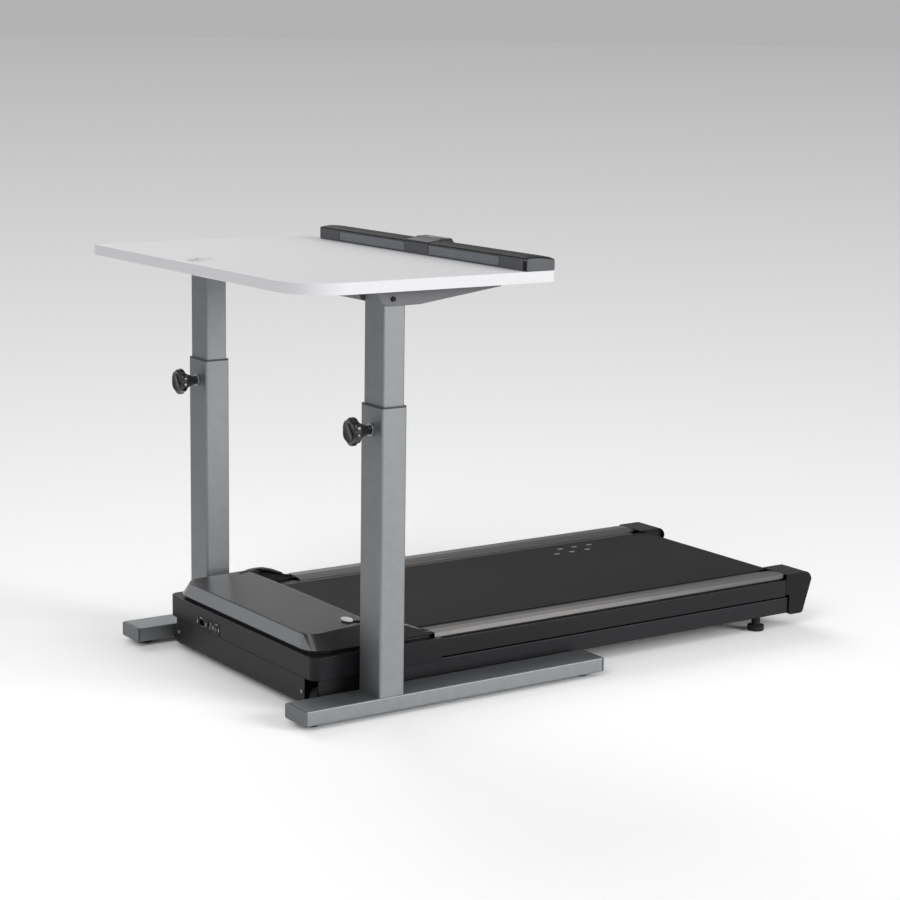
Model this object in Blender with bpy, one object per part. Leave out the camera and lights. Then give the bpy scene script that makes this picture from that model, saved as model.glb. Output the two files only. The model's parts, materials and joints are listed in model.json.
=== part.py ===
"""Walking treadmill under a height-adjustable desk, built from separate parts.

Metres, +Z up. X is the width, -Y is the motor end and +Y the end where the walker steps on.
The origin is on the floor, under the middle of the whole assembly.
"left" is the -X side and "right" is the +X side.
"""
import bpy
import bmesh
from math import acos, atan2, cos, hypot, pi, radians, sin
from mathutils import Vector

GAP = 0.0003                    # clearance between two faces that touch
SIDES = (("left", -1), ("right", 1))

# Treadmill: outside sizes
BASE_HALF = 0.359               # half the width over the front housing
FRONT = -0.730                  # front face of the housing
HOUSING_END = -0.370            # where the housing's side walls stop
SEAM_Z = 0.079                  # joint between the housing and the lower front panel
LEDGE_Z = 0.134                 # top of the housing
RAIL_TOP = 0.146                # top of the foot rails
CAP_Y = 0.745                   # front edge of the rear caps

# Steel frame
BEAM_IN, BEAM_OUT = 0.308, 0.352
BEAM_Z = (0.038, 0.082)
BEAM_Y = (-0.655, 0.757)
WALL = 0.0025
EAR = (0.3035, 0.3095)          # thickness of the axle plates, across X
LEDGE_X, LEDGE_TOP = 0.268, 0.104
DECK_TOP, DECK_THICK = 0.1377, 0.018

# Rollers and walking belt
ROLLER_Z = 0.1155
FRONT_ROLLER_Y, REAR_ROLLER_Y = -0.575, 0.760
ROLLER_R, ROLLER_HALF = 0.0222, 0.266
AXLE_R, BORE_R = 0.008, 0.0083
BELT_HALF, BELT_THICK = 0.262, 0.0017
DRIVEN_R, DRIVER_R = 0.038, 0.0125
PULLEY_X = (0.270, 0.290)

# Motor
MOTOR_Y, MOTOR_Z, MOTOR_R = -0.665, 0.090, 0.044
MOTOR_X = (-0.130, 0.150)

# Hood
HOOD_HALF, HOOD_FRONT, HOOD_BASE = 0.341, -0.7225, 0.1423
HOOD_REAR, WING_END = -0.515, -0.3848
HOOD_CORNER = 0.055
HOOD_SKIN = 0.003

# Wheels and feet
WHEEL_R, WHEEL_Y = 0.030, -0.695
WHEEL_X = (0.327, 0.349)
REAR_FOOT = (0.330, 0.665)

# Power panel, on the left of the housing's front face
PANEL_Z = 0.0965
INLET_X, SWITCH_X, BREAKER_X = -0.185, -0.142, -0.106

# Desk
COLUMN_X, COLUMN_Y = 0.4163, -0.580
COLUMN_HALF = (0.045, 0.034)
COLUMN_TOP = 0.7236
POST_HALF = (0.0405, 0.0292)
POST_Z = (0.300, 0.991)
COLLAR_TOP = 0.7276
KNOB_Z, KNOB_R = 0.671, 0.033
FOOT_Y, FOOT_Z = (-0.807, 0.038), (0.012, 0.048)
FOOT_CAP = 0.004                # how far the rounded plugs stand out of the foot tubes
GLIDE_Y = (-0.772, 0.003)
ARM_TOP, ARM_HALF = 0.9945, 0.0445
TOP_Z = (0.9948, 1.0218)
TOP_HALF, TOP_Y = 0.5158, (-0.853, -0.177)
GROMMET_X, GROMMET_Y, GROMMET_R = -0.052, -0.795, 0.0325

# Console along the desk's rear edge; its top is a low dome that falls to the rear
TRAY_X, TRAY_Y = (-0.402, 0.5148), (-0.257, -0.177)
TRAY_MID, TRAY_TILT, TRAY_DOME = 1.0515, -0.00250, -0.0036
PANEL_TOP = 1.0478             # upper edge of the recesses in the tray's front
PANEL_X = ((-0.3046, 0.0006), (0.1078, 0.4021))
PAD_THICK = 0.005
MODULE_X, MODULE_HALF, MODULE_TOP = 0.0542, 0.0516, 1.0622
BUTTONS = (("start", -0.036), ("stop", -0.022), ("slower", 0.022), ("faster", 0.036))
BUTTON_Y, BUTTON_R, BUTTON_TRAVEL = -0.205, 0.0055, 0.0015
KEY_Z = 1.0295


# ---------------------------------------------------------------- helpers

def clear_scene():
    for thing in list(bpy.data.objects):
        bpy.data.objects.remove(thing, do_unlink=True)


def finish(name, colour, roughness, metallic=0.0):
    """A plain Principled material, made once for each name."""
    if name in bpy.data.materials:
        return bpy.data.materials[name]
    material = bpy.data.materials.new(name)
    material.use_nodes = True
    shader = material.node_tree.nodes["Principled BSDF"]
    shader.inputs["Base Color"].default_value = (*colour, 1.0)
    shader.inputs["Roughness"].default_value = roughness
    shader.inputs["Metallic"].default_value = metallic
    material.diffuse_color = (*colour, 1.0)
    return material


def black_steel():
    return finish("black_steel", (0.022, 0.022, 0.024), 0.45, 0.3)


def bright_steel():
    return finish("bright_steel", (0.50, 0.50, 0.51), 0.32, 1.0)


def silver_paint():
    return finish("silver_paint", (0.34, 0.36, 0.38), 0.42, 0.35)


def charcoal_plastic():
    return finish("charcoal_plastic", (0.040, 0.040, 0.043), 0.42)


def grey_plastic():
    return finish("grey_plastic", (0.070, 0.073, 0.082), 0.48)


def gloss_black():
    return finish("gloss_black", (0.012, 0.012, 0.013), 0.25)


def black_rubber():
    return finish("black_rubber", (0.015, 0.015, 0.015), 0.85)


def make(name, mesh_data, material, origin=(0, 0, 0), round_angle=None):
    """Put a bmesh, given in world coordinates, into an object with its origin at `origin`."""
    bmesh.ops.remove_doubles(mesh_data, verts=mesh_data.verts, dist=1e-6)
    bmesh.ops.recalc_face_normals(mesh_data, faces=mesh_data.faces)
    bmesh.ops.translate(mesh_data, verts=mesh_data.verts, vec=-Vector(origin))
    mesh = bpy.data.meshes.new(name)
    mesh_data.to_mesh(mesh)
    mesh_data.free()
    if round_angle:
        mesh.shade_smooth()
        mesh.set_sharp_from_angle(angle=radians(round_angle))
    part = bpy.data.objects.new(name, mesh)
    part.location = origin
    if material:
        mesh.materials.append(material)
    bpy.context.scene.collection.objects.link(part)
    return part


def place(axis, u, v, along):
    """A point from its two coordinates across an axis and its place along it."""
    return {"X": (along, u, v), "Y": (u, along, v), "Z": (u, v, along)}[axis]


def prism(name, outline, axis, span, material=None, origin=(0, 0, 0), round_angle=None):
    """Extrude a flat outline. Its points are (y, z), (x, z) or (x, y) for axis X, Y or Z."""
    work = bmesh.new()
    ends = [[work.verts.new(place(axis, u, v, along)) for u, v in outline] for along in span]
    work.faces.new(ends[0])
    work.faces.new(ends[1])
    count = len(outline)
    for i in range(count):
        j = (i + 1) % count
        work.faces.new((ends[0][i], ends[0][j], ends[1][j], ends[1][i]))
    return make(name, work, material, origin, round_angle)


def box(name, x, y, z, material=None):
    (x0, x1), (y0, y1) = sorted(x), sorted(y)
    return prism(name, [(x0, y0), (x1, y0), (x1, y1), (x0, y1)], "Z", z, material)


def turned(name, profile, axis, centre, material=None, segments=32, bored=False, flip=1):
    """Turn a profile of (distance along the axis, radius) about the axis through `centre`.

    A bored piece has a closed profile; any other profile starts and ends on the axis.
    """
    u0, v0, a0 = {"X": (centre[1], centre[2], centre[0]), "Y": (centre[0], centre[2], centre[1]),
                  "Z": centre}[axis]
    work = bmesh.new()
    rings = []
    for along, radius in profile:
        where = a0 + flip * along
        if radius == 0:
            rings.append([work.verts.new(place(axis, u0, v0, where))] * segments)
            continue
        angles = [2 * pi * k / segments for k in range(segments)]
        rings.append([work.verts.new(place(axis, u0 + radius * sin(a), v0 - radius * cos(a), where))
                      for a in angles])
    pairs = list(zip(rings, rings[1:]))
    if bored:
        pairs.append((rings[-1], rings[0]))
    for ring, following in pairs:
        for k in range(segments):
            j = (k + 1) % segments
            corners = []
            for corner in (ring[k], ring[j], following[j], following[k]):
                if corner not in corners:
                    corners.append(corner)
            if len(corners) > 2:
                work.faces.new(corners)
    return make(name, work, material, centre, 40)


def cylinder(name, radius, axis, centre, span, material=None, segments=24):
    profile = [(span[0], 0), (span[0], radius), (span[1], radius), (span[1], 0)]
    return turned(name, profile, axis, centre, material, segments)


def guide(part):
    """Mark a shape that only cuts or joins another one."""
    part.hide_render = True
    part.display_type = "WIRE"
    return part


def combine(part, other, operation):
    step = part.modifiers.new(other.name, "BOOLEAN")
    step.operation = operation
    step.solver = "EXACT"
    step.object = guide(other)


def cut(part, *others):
    for other in others:
        combine(part, other, "DIFFERENCE")


def join(part, *others):
    for other in others:
        combine(part, other, "UNION")


def soften(part, width, segments=2, angle=50):
    """Round the part's sharp edges."""
    step = part.modifiers.new("soft edges", "BEVEL")
    step.width = width
    step.segments = segments
    step.limit_method = "ANGLE"
    step.angle_limit = radians(angle)
    return part


def arc(centre, radius, start, stop, steps):
    """Points on an arc, from one angle in degrees to another."""
    angles = [radians(start + (stop - start) * k / steps) for k in range(steps + 1)]
    return [(centre[0] + radius * cos(a), centre[1] + radius * sin(a)) for a in angles]


def rounded_box(half_x, half_y, centre, radius, steps=4):
    """Outline of a rectangle with round corners, centred in its plane."""
    outline = []
    for sx, sy, start in ((1, 1, 0), (-1, 1, 90), (-1, -1, 180), (1, -1, 270)):
        corner = (centre[0] + sx * (half_x - radius), centre[1] + sy * (half_y - radius))
        outline += arc(corner, radius, start, start + 90, steps)
    return outline


def loop_outline(first, r1, second, r2, steps=16):
    """Outline of a band that runs tightly round two circles."""
    reach = hypot(second[0] - first[0], second[1] - first[1])
    heading = atan2(second[1] - first[1], second[0] - first[0])
    lean = acos((r1 - r2) / reach)
    outline = []
    for centre, radius, start, sweep in ((first, r1, heading + lean, 2 * (pi - lean)),
                                         (second, r2, heading - lean, 2 * lean)):
        for k in range(steps + 1):
            angle = start + sweep * k / steps
            outline.append((centre[0] + radius * cos(angle), centre[1] + radius * sin(angle)))
    return outline


def ring_prism(name, outer, inner, span, material):
    """Extrude along X the wall between two outlines with the same number of points."""
    work = bmesh.new()
    loops = [[work.verts.new((x, y, z)) for y, z in outline]
             for x in span for outline in (outer, inner)]
    near_outer, near_inner, far_outer, far_inner = loops
    count = len(outer)
    for one, two in ((near_outer, near_inner), (far_outer, far_inner),
                     (near_outer, far_outer), (near_inner, far_inner)):
        for i in range(count):
            j = (i + 1) % count
            work.faces.new((one[i], one[j], two[j], two[i]))
    return make(name, work, material, (0, 0, 0), 30)


def rect_tube(name, half, centre, wall, span, axis, material, radius=0.004):
    """A rectangular steel tube with softly rounded edges, open at both ends."""
    part = prism(name, rounded_box(half[0], half[1], centre, radius, 3), axis, span, material,
                 round_angle=30)
    bore = prism(name + "_bore", rounded_box(half[0] - wall, half[1] - wall, centre,
                                             max(radius - wall, 0.001), 2),
                 axis, (span[0] - 0.01, span[1] + 0.01))
    cut(part, bore)
    return part


def mirrored(outline, side):
    """Mirror an outline's first coordinate for the left side."""
    return [(side * u, v) for u, v in outline]


# ---------------------------------------------------------------- treadmill frame

def frame_rails():
    """Each side beam, welded up with its deck ledge, axle plates and wheel stub axle."""
    half_x, half_z = (BEAM_OUT - BEAM_IN) / 2, (BEAM_Z[1] - BEAM_Z[0]) / 2
    middle = ((BEAM_IN + BEAM_OUT) / 2, (BEAM_Z[0] + BEAM_Z[1]) / 2)
    ledge = [(BEAM_IN + 0.0005, BEAM_Z[1] - 0.0015), (0.3115, BEAM_Z[1] - 0.0015), (0.3115, LEDGE_TOP),
             (LEDGE_X, LEDGE_TOP), (LEDGE_X, LEDGE_TOP - 0.0035), (BEAM_IN + 0.0005, LEDGE_TOP - 0.0035)]
    for word, side in SIDES:
        name = "frame_rail_" + word
        rail = rect_tube(name, (half_x, half_z), (side * middle[0], middle[1]), WALL, BEAM_Y, "Y",
                         black_steel(), 0.003)
        ear_x = (side * EAR[0], side * EAR[1])
        join(rail,
             prism(name + "_ledge", mirrored(ledge, side), "Y", (-0.500, 0.700)),
             box(name + "_front_ear", ear_x, (FRONT_ROLLER_Y - 0.022, FRONT_ROLLER_Y + 0.022),
                 (0.060, 0.136)),
             box(name + "_rear_ear", ear_x, (REAR_ROLLER_Y - 0.060, REAR_ROLLER_Y + 0.025),
                 (0.060, 0.136)),
             box(name + "_wheel_ear", ear_x, (-0.724, -0.620), (0.016, 0.060)),
            box(name + "_wheel_guard", (side * 0.3505, side * 0.3530), (-0.712, -0.640), (0.034, 0.0785)),
             turned(name + "_stub", [(0.305, 0), (0.305, 0.009), (0.3262, 0.009), (0.3262, 0.005),
                                     (0.3497, 0.005), (0.3497, 0.010), (0.3570, 0.008), (0.3570, 0)],
                    "X", (0, WHEEL_Y, WHEEL_R), None, 24, flip=side))
        for end, y in (("front", FRONT_ROLLER_Y), ("rear", REAR_ROLLER_Y)):
            cut(rail, cylinder(f"{name}_{end}_hole", BORE_R, "X", (0, y, ROLLER_Z),
                               (side * 0.300, side * 0.3125)))


def cross_members():
    """Two cross tubes; the front one also carries the motor's saddle."""
    half_x = BEAM_IN - GAP
    front = rect_tube("cross_front", (0.020, 0.0125), (-0.525, 0.0505), 0.002,
                      (-half_x, half_x), "X", black_steel(), 0.002)
    plate = box("cross_front_plate", (-0.150, 0.240), (-0.712, -0.535), (0.0385, 0.0425))
    join(front, plate)
    for k, x in enumerate((-0.100, 0.110)):
        join(front, box(f"cross_front_saddle_{k}", (x - 0.010, x + 0.010), (-0.700, -0.630),
                        (0.041, 0.070)))
    cut(front, cylinder("cross_front_seat", MOTOR_R + GAP, "X", (0, MOTOR_Y, MOTOR_Z),
                        (-0.2, 0.2), None, 40))
    rect_tube("cross_rear", (0.020, 0.0125), (0.600, 0.0505), 0.002, (-half_x, half_x), "X",
              black_steel(), 0.002)


def deck():
    """The board that the belt slides on, and the rubber strips that carry it."""
    laminate = finish("deck_laminate", (0.018, 0.018, 0.018), 0.35)
    soften(box("deck_board", (-0.300, 0.300), (-0.530, 0.728), (DECK_TOP - DECK_THICK, DECK_TOP),
               laminate), 0.0015, 1)
    for word, side in SIDES:
        soften(box("deck_isolator_" + word, (side * 0.272, side * 0.300), (-0.480, 0.680),
                   (LEDGE_TOP + GAP, DECK_TOP - DECK_THICK - GAP), black_rubber()), 0.002, 1)


# ---------------------------------------------------------------- belt, rollers and drive

def rollers():
    """Both rollers turn on fixed axles; the front one has the driven pulley on its right."""
    steel = bright_steel()
    body = [(-ROLLER_HALF, BORE_R), (-ROLLER_HALF, ROLLER_R - 0.001), (-ROLLER_HALF + 0.001, ROLLER_R),
            (ROLLER_HALF - 0.001, ROLLER_R), (ROLLER_HALF, ROLLER_R - 0.001)]
    pulley = [(ROLLER_HALF, 0.015), (PULLEY_X[0], 0.015), (PULLEY_X[0], DRIVEN_R), (PULLEY_X[1], DRIVEN_R),
              (PULLEY_X[1], 0.014), (PULLEY_X[1] + 0.006, 0.014), (PULLEY_X[1] + 0.006, BORE_R)]
    axle = [(-0.3195, 0), (-0.3195, 0.012), (-0.3100, 0.012), (-0.3100, AXLE_R),
            (0.3100, AXLE_R), (0.3100, 0.012), (0.3195, 0.012), (0.3195, 0)]
    front, rear = (0, FRONT_ROLLER_Y, ROLLER_Z), (0, REAR_ROLLER_Y, ROLLER_Z)
    turned("front_roller", body + pulley, "X", front, steel, 40, bored=True)
    turned("rear_roller", body + [(ROLLER_HALF, BORE_R)], "X", rear, steel, 40, bored=True)
    turned("front_axle", axle, "X", front, steel, 24)
    turned("rear_axle", axle, "X", rear, steel, 24)


def walking_belt():
    inner = ROLLER_R + GAP
    ends = ((FRONT_ROLLER_Y, ROLLER_Z), (REAR_ROLLER_Y, ROLLER_Z))
    ring_prism("walking_belt",
               loop_outline(ends[0], inner + BELT_THICK, ends[1], inner + BELT_THICK),
               loop_outline(ends[0], inner, ends[1], inner),
               (-BELT_HALF, BELT_HALF), finish("belt_fabric", (0.018, 0.018, 0.018), 0.8))


def drive():
    """Motor, its flywheel and pulley, the drive belt, and the speed controller."""
    casing = finish("motor_casing", (0.05, 0.05, 0.055), 0.4, 0.6)
    mid = (MOTOR_X[0] + MOTOR_X[1]) / 2
    half = (MOTOR_X[1] - MOTOR_X[0]) / 2
    motor = turned("drive_motor", [(-half, 0), (-half, 0.036), (-half + 0.010, MOTOR_R),
                                   (half - 0.010, MOTOR_R), (half, 0.036), (half, 0)],
                   "X", (mid, MOTOR_Y, MOTOR_Z), casing, 40)
    cut(motor, cylinder("drive_motor_bore", 0.0065, "X", (0, MOTOR_Y, MOTOR_Z),
                        (MOTOR_X[1] - 0.020, MOTOR_X[1] + 0.01)))
    spin = [(MOTOR_X[1] - 0.018, 0), (MOTOR_X[1] - 0.018, 0.006), (0.158, 0.006), (0.158, 0.042),
            (0.172, 0.042), (0.172, 0.006), (PULLEY_X[0], 0.006), (PULLEY_X[0], DRIVER_R),
            (PULLEY_X[1], DRIVER_R), (PULLEY_X[1], 0)]
    turned("motor_pulley", spin, "X", (0, MOTOR_Y, MOTOR_Z), bright_steel(), 32)
    driven, driver = (FRONT_ROLLER_Y, ROLLER_Z), (MOTOR_Y, MOTOR_Z)
    ring_prism("drive_belt",
               loop_outline(driver, DRIVER_R + GAP + 0.003, driven, DRIVEN_R + GAP + 0.003),
               loop_outline(driver, DRIVER_R + GAP, driven, DRIVEN_R + GAP),
               (PULLEY_X[0] + 0.002, PULLEY_X[1] - 0.002), black_rubber())
    board = box("control_board", (-0.285, -0.165), (-0.690, -0.600), (0.0850, 0.0875),
                finish("board_green", (0.02, 0.10, 0.05), 0.5))
    join(board, box("control_board_sink", (-0.275, -0.175), (-0.640, -0.610), (0.087, 0.120)))
    for k in range(4):
        x = -0.262 + 0.025 * k
        join(board, cylinder(f"control_board_part_{k}", 0.008, "Z", (x, -0.670, 0.087),
                             (-0.001, 0.022), None, 16))
    for k, x in enumerate((-0.280, -0.170)):
        join(board, box(f"control_board_leg_{k}", (x - 0.004, x + 0.004), (-0.685, -0.605),
                        (0.0192, 0.0855)))


# ---------------------------------------------------------------- covers

def front_housing():
    """The band round the motor end, with an inward top flange and a raised lip for the hood."""
    rear = HOUSING_END + 0.03
    inner_half, inner_front = BASE_HALF - 0.003, FRONT + 0.003
    room = [(inner_half, rear), (-inner_half, rear)]
    room += arc((-inner_half + 0.019, inner_front + 0.019), 0.019, 180, 270, 4)
    room += arc((inner_half - 0.019, inner_front + 0.019), 0.019, 270, 360, 4)
    body = prism("front_housing", [(BASE_HALF, HOUSING_END), (-BASE_HALF, HOUSING_END)]
                 + arc((-BASE_HALF + 0.022, FRONT + 0.022), 0.022, 180, 270, 5)
                 + arc((BASE_HALF - 0.022, FRONT + 0.022), 0.022, 270, 360, 5),
                 "Z", (SEAM_Z, LEDGE_Z), charcoal_plastic(), round_angle=40)
    lip = prism("front_housing_lip", [(0.334, -0.390), (-0.334, -0.390)]
                + arc((-0.334 + 0.045, -0.716 + 0.045), 0.045, 180, 270, 4)
                + arc((0.334 - 0.045, -0.716 + 0.045), 0.045, 270, 360, 4),
                "Z", (LEDGE_Z - 0.002, HOOD_BASE - 0.0006))
    join(body, lip)
    cut(body,
        prism("front_housing_room", room, "Z", (0.060, LEDGE_Z - 0.003)),
        box("front_housing_mouth", (-0.322, 0.322), (FRONT + 0.030, rear), (0.060, 0.200)),
        box("inlet_window", (INLET_X - 0.0145, INLET_X + 0.0145), (FRONT - 0.01, FRONT + 0.01),
            (PANEL_Z - 0.011, PANEL_Z + 0.011)),
        box("switch_window", (SWITCH_X - 0.0085, SWITCH_X + 0.0085), (FRONT - 0.01, FRONT + 0.01),
            (PANEL_Z - 0.011, PANEL_Z + 0.011)),
        cylinder("breaker_window", 0.0068, "Y", (BREAKER_X, FRONT, PANEL_Z), (-0.01, 0.01)))


def front_panel():
    """The flat lower front panel, folded back under the motor as a belly pan."""
    panel = box("front_panel", (-0.318, 0.318), (FRONT + GAP, FRONT + 0.0023), (0.0165, SEAM_Z - GAP),
                charcoal_plastic())
    join(panel, box("front_panel_pan", (-0.3025, 0.3025), (FRONT + 0.001, -0.460), (0.0165, 0.0185)))


def hood_side_height(y):
    """Height of the hood's shoulder line: a gentle rise, then a fall to the tip of the wing."""
    rise = 0.176 + 0.006 * min(1, max(0, (y - HOOD_FRONT) / 0.16))
    t = min(1, max(0, (y + 0.510) / (WING_END + 0.510)))
    return rise + (0.1468 - rise) * t * t * (3 - 2 * t)


def hood_points(inset):
    """Rows of points on the hood's skin, moved inwards by `inset` for its inner face."""
    half, front, base = HOOD_HALF - inset, HOOD_FRONT + inset, HOOD_BASE
    across, along = 16, 14
    lean_front = 0.008
    radius = HOOD_CORNER - inset
    top_front = front + lean_front
    top_radius = radius - 0.014

    def shoulder(y):
        return half - (hood_side_height(y) - base)

    top_half = shoulder(front)

    def path(share, width, start, corner):
        """A point on an outline: share -1..1 runs across the front from one corner to the other."""
        flat = 0.80
        if abs(share) <= flat:
            return (width - corner) * share / flat, start
        angle = radians(45) * (abs(share) - flat) / (1 - flat)
        x = width - corner + corner * sin(angle)
        return (x if share > 0 else -x), start + corner - corner * cos(angle)

    def flank(share, width, start, corner, end, width_at):
        """A point on the right side: share 0..1 runs from the middle of the corner to the rear."""
        turn = 0.16
        if share < turn:
            angle = radians(45) * (1 + share / turn)
            return width - corner + corner * sin(angle), start + corner - corner * cos(angle)
        y = start + corner + (end - start - corner) * (share - turn) / (1 - turn)
        return width_at(y), y

    rows = []
    front_shares = [-1 + 2 * i / across for i in range(across + 1)]
    base_row = [(*path(s, half, front, radius), base) for s in front_shares]
    rows.append([base_row[0]] + base_row + [base_row[-1]])
    corner_x = path(1, top_half, top_front, top_radius)[0]
    for j in range(along + 1):
        t = j / along
        side_x, side_y = flank(t, top_half, top_front, top_radius, WING_END, shoulder)
        start_y = flank(0, top_half, top_front, top_radius, WING_END, shoulder)[1]
        part = (side_y - start_y) / (WING_END - start_y)
        base_x, base_y = flank(t, half, front, radius, WING_END, lambda y: half)
        row = [(-base_x, base_y, base)]
        for share in front_shares:
            x0, y0 = path(share, top_half, top_front, top_radius)
            x = x0 / corner_x * side_x
            wing = min(1, max(0, (abs(share) - 0.78) / 0.17))
            wing = wing * wing * (3 - 2 * wing)
            end = HOOD_REAR - inset + (WING_END - HOOD_REAR + inset) * wing
            y = y0 + part * (end - y0)
            middle = 0.178 + 0.010 * part
            drop = max(0, (part - 0.86) / 0.14)
            middle -= 0.036 * drop * drop
            z = middle + (hood_side_height(y) - middle) * max(wing, share * share)
            row.append((x, y, z - inset))
        row.append((base_x, base_y, base))
        rows.append(row)
    return rows


def motor_hood():
    """A thin shell: outer and inner skins over the same grid, closed along their edges."""
    work = bmesh.new()
    skins = [[[work.verts.new(point) for point in row] for row in hood_points(inset)]
             for inset in (0, HOOD_SKIN)]
    last_row, last_column = len(skins[0]) - 1, len(skins[0][0]) - 1
    for skin in skins:
        for j in range(last_row):
            for i in range(last_column):
                work.faces.new((skin[j][i], skin[j][i + 1], skin[j + 1][i + 1], skin[j + 1][i]))
    border = [(0, i) for i in range(last_column)] + [(j, last_column) for j in range(last_row)]
    border += [(last_row, i) for i in range(last_column, 0, -1)] + [(j, 0) for j in range(last_row, 0, -1)]
    for here, there in zip(border, border[1:] + border[:1]):
        outer, inner = skins
        work.faces.new((outer[here[0]][here[1]], outer[there[0]][there[1]],
                        inner[there[0]][there[1]], inner[here[0]][here[1]]))
    make("motor_hood", work, charcoal_plastic(), (0, 0, 0), 35)


def foot_rails_and_skirts():
    """Aluminium foot rails on top of the deck's edges, and the plastic skirts beside them."""
    rail = [(0.3465, LEDGE_Z + 0.0005), (0.3465, RAIL_TOP - 0.001), (0.3455, RAIL_TOP),
            (0.3180, RAIL_TOP), (0.2895, 0.1434), (0.2870, 0.1425), (0.2870, DECK_TOP + 0.0005),
            (0.2895, DECK_TOP + 0.0005), (0.2895, 0.1408), (0.3180, 0.1432), (0.3440, 0.1432),
            (0.3440, LEDGE_Z + 0.0005)]
    skirt = [(0.3570, 0.0870), (0.3570, 0.1300), (0.3560, 0.1310), (0.3425, 0.1310), (0.3425, 0.1342),
             (0.3300, 0.1342), (0.3300, 0.1285), (0.3535, 0.1285), (0.3535, 0.0898), (0.3220, 0.0898),
             (0.3220, BEAM_Z[1] + GAP), (0.3260, BEAM_Z[1] + GAP), (0.3260, 0.0870)]
    for word, side in SIDES:
        prism("foot_rail_" + word, mirrored(rail, side), "Y", (WING_END + 0.0005, CAP_Y - 0.0005),
              finish("rail_aluminium", (0.28, 0.27, 0.265), 0.45, 0.6))
        prism("side_skirt_" + word, mirrored(skirt, side), "Y", (HOUSING_END + 0.0005, CAP_Y - 0.0012),
              charcoal_plastic())


def rear_caps():
    """Hollow corner caps over the ends of the rear roller, open to the front and inwards."""
    outline = [(CAP_Y, 0.090), (CAP_Y, RAIL_TOP + 0.0005), (0.811, RAIL_TOP + 0.0005)]
    outline += arc((0.8121, 0.1215), 0.025, 80, 5, 5)
    outline += arc((0.8005, 0.0435), 0.010, -20, -90, 3)
    outline += [(0.7650, 0.0335), (0.7580, 0.0400), (0.7580, 0.0900)]
    room = [(0.7400, 0.0365), (0.7400, 0.1435), (0.8105, 0.1435)]
    room += arc((0.8121, 0.1215), 0.022, 80, 5, 5)
    room += arc((0.8005, 0.0435), 0.007, -20, -90, 3)
    for word, side in SIDES:
        name = "rear_cap_" + word
        cap = prism(name, outline, "X", (side * 0.2595, side * 0.357), charcoal_plastic(), round_angle=30)
        cut(cap, prism(name + "_room", room, "X", (side * 0.250, side * 0.354)))


# ---------------------------------------------------------------- wheels, feet and power panel

def wheels_and_feet():
    tread = [(-0.011, 0.0053), (-0.011, 0.027), (-0.008, WHEEL_R), (0.008, WHEEL_R), (0.011, 0.027),
             (0.011, 0.0053)]
    foot = [(0, 0), (0, 0.021), (0.002, 0.022), (0.014, 0.022), (0.017, 0.012),
            (BEAM_Z[0] - GAP, 0.012), (BEAM_Z[0] - GAP, 0)]
    for word, side in SIDES:
        centre = (side * (WHEEL_X[0] + WHEEL_X[1]) / 2, WHEEL_Y, WHEEL_R)
        turned("transport_wheel_" + word, tread, "X", centre,
               finish("wheel_black", (0.02, 0.02, 0.02), 0.6), 32, bored=True)
        turned("rear_foot_" + word, foot, "Z", (side * REAR_FOOT[0], REAR_FOOT[1], 0), black_rubber(), 32)


def power_panel():
    """Mains inlet, rocker switch and the reset button of the circuit breaker."""
    dark = gloss_black()
    front, z = FRONT, PANEL_Z
    inlet = box("power_inlet", (INLET_X - 0.014, INLET_X + 0.014), (front + 0.0005, front + 0.028),
                (z - 0.0105, z + 0.0105), dark)
    well = prism("power_inlet_well", rounded_box(0.0115, 0.0080, (INLET_X, z), 0.003, 2), "Y",
                 (front - 0.01, front + 0.018))
    cut(inlet, well)
    for k, x in enumerate((-0.006, 0.0, 0.006)):
        join(inlet, box(f"power_inlet_pin_{k}", (INLET_X + x - 0.001, INLET_X + x + 0.001),
                        (front + 0.006, front + 0.020), (z - 0.002, z + 0.002)))
    rocker = prism("power_switch", [(-0.0065, -0.0095), (-0.0040, 0.0), (-0.0065, 0.0095),
                                    (0.0060, 0.0070), (0.0060, -0.0070)],
                   "X", (-0.0075, 0.0075), dark)
    rocker.location = (SWITCH_X, front + 0.006, z)
    rocker.rotation_euler = (radians(-8), 0, 0)
    turned("breaker_button", [(-0.003, 0), (-0.003, 0.0045), (-0.002, 0.0060), (0.010, 0.0060), (0.010, 0)],
           "Y", (BREAKER_X, front, z), dark, 20)


# ---------------------------------------------------------------- desk legs

def desk_legs():
    """Floor tubes on glides, the fixed columns, their collars and the sliding posts."""
    for word, side in SIDES:
        x = side * COLUMN_X
        foot_mid = (FOOT_Z[0] + FOOT_Z[1]) / 2
        foot_half = (COLUMN_HALF[0], (FOOT_Z[1] - FOOT_Z[0]) / 2)
        foot = rect_tube("desk_foot_" + word, foot_half, (x, foot_mid), 0.002, FOOT_Y, "Y",
                         silver_paint(), 0.003)
        for end, y, out in (("front", FOOT_Y[0], -1), ("rear", FOOT_Y[1], 1)):
            plug = prism(f"foot_plug_{end}_{word}",
                         rounded_box(foot_half[0] - 0.001, foot_half[1] - 0.001, (x, foot_mid), 0.003, 3),
                         "Y", (y - out * 0.010, y + out * FOOT_CAP))
            join(foot, plug)
            cut(foot, cylinder(f"foot_vent_{end}_{word}", 0.003, "Y", (x, y, foot_mid), (-0.02, 0.02)))
        for end, y in zip(("front", "rear"), GLIDE_Y):
            turned(f"glide_{end}_{word}", [(0, 0), (0, 0.018), (0.0015, 0.020), (0.008, 0.020),
                                           (FOOT_Z[0] - GAP, 0.014), (FOOT_Z[0] - GAP, 0)],
                   "Z", (x, y, 0), black_rubber(), 24)
        column(word, x)
        rect_tube("post_" + word, POST_HALF, (x, COLUMN_Y), 0.002, POST_Z, "Z", silver_paint(), 0.004)
        knob(word, x)


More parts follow.
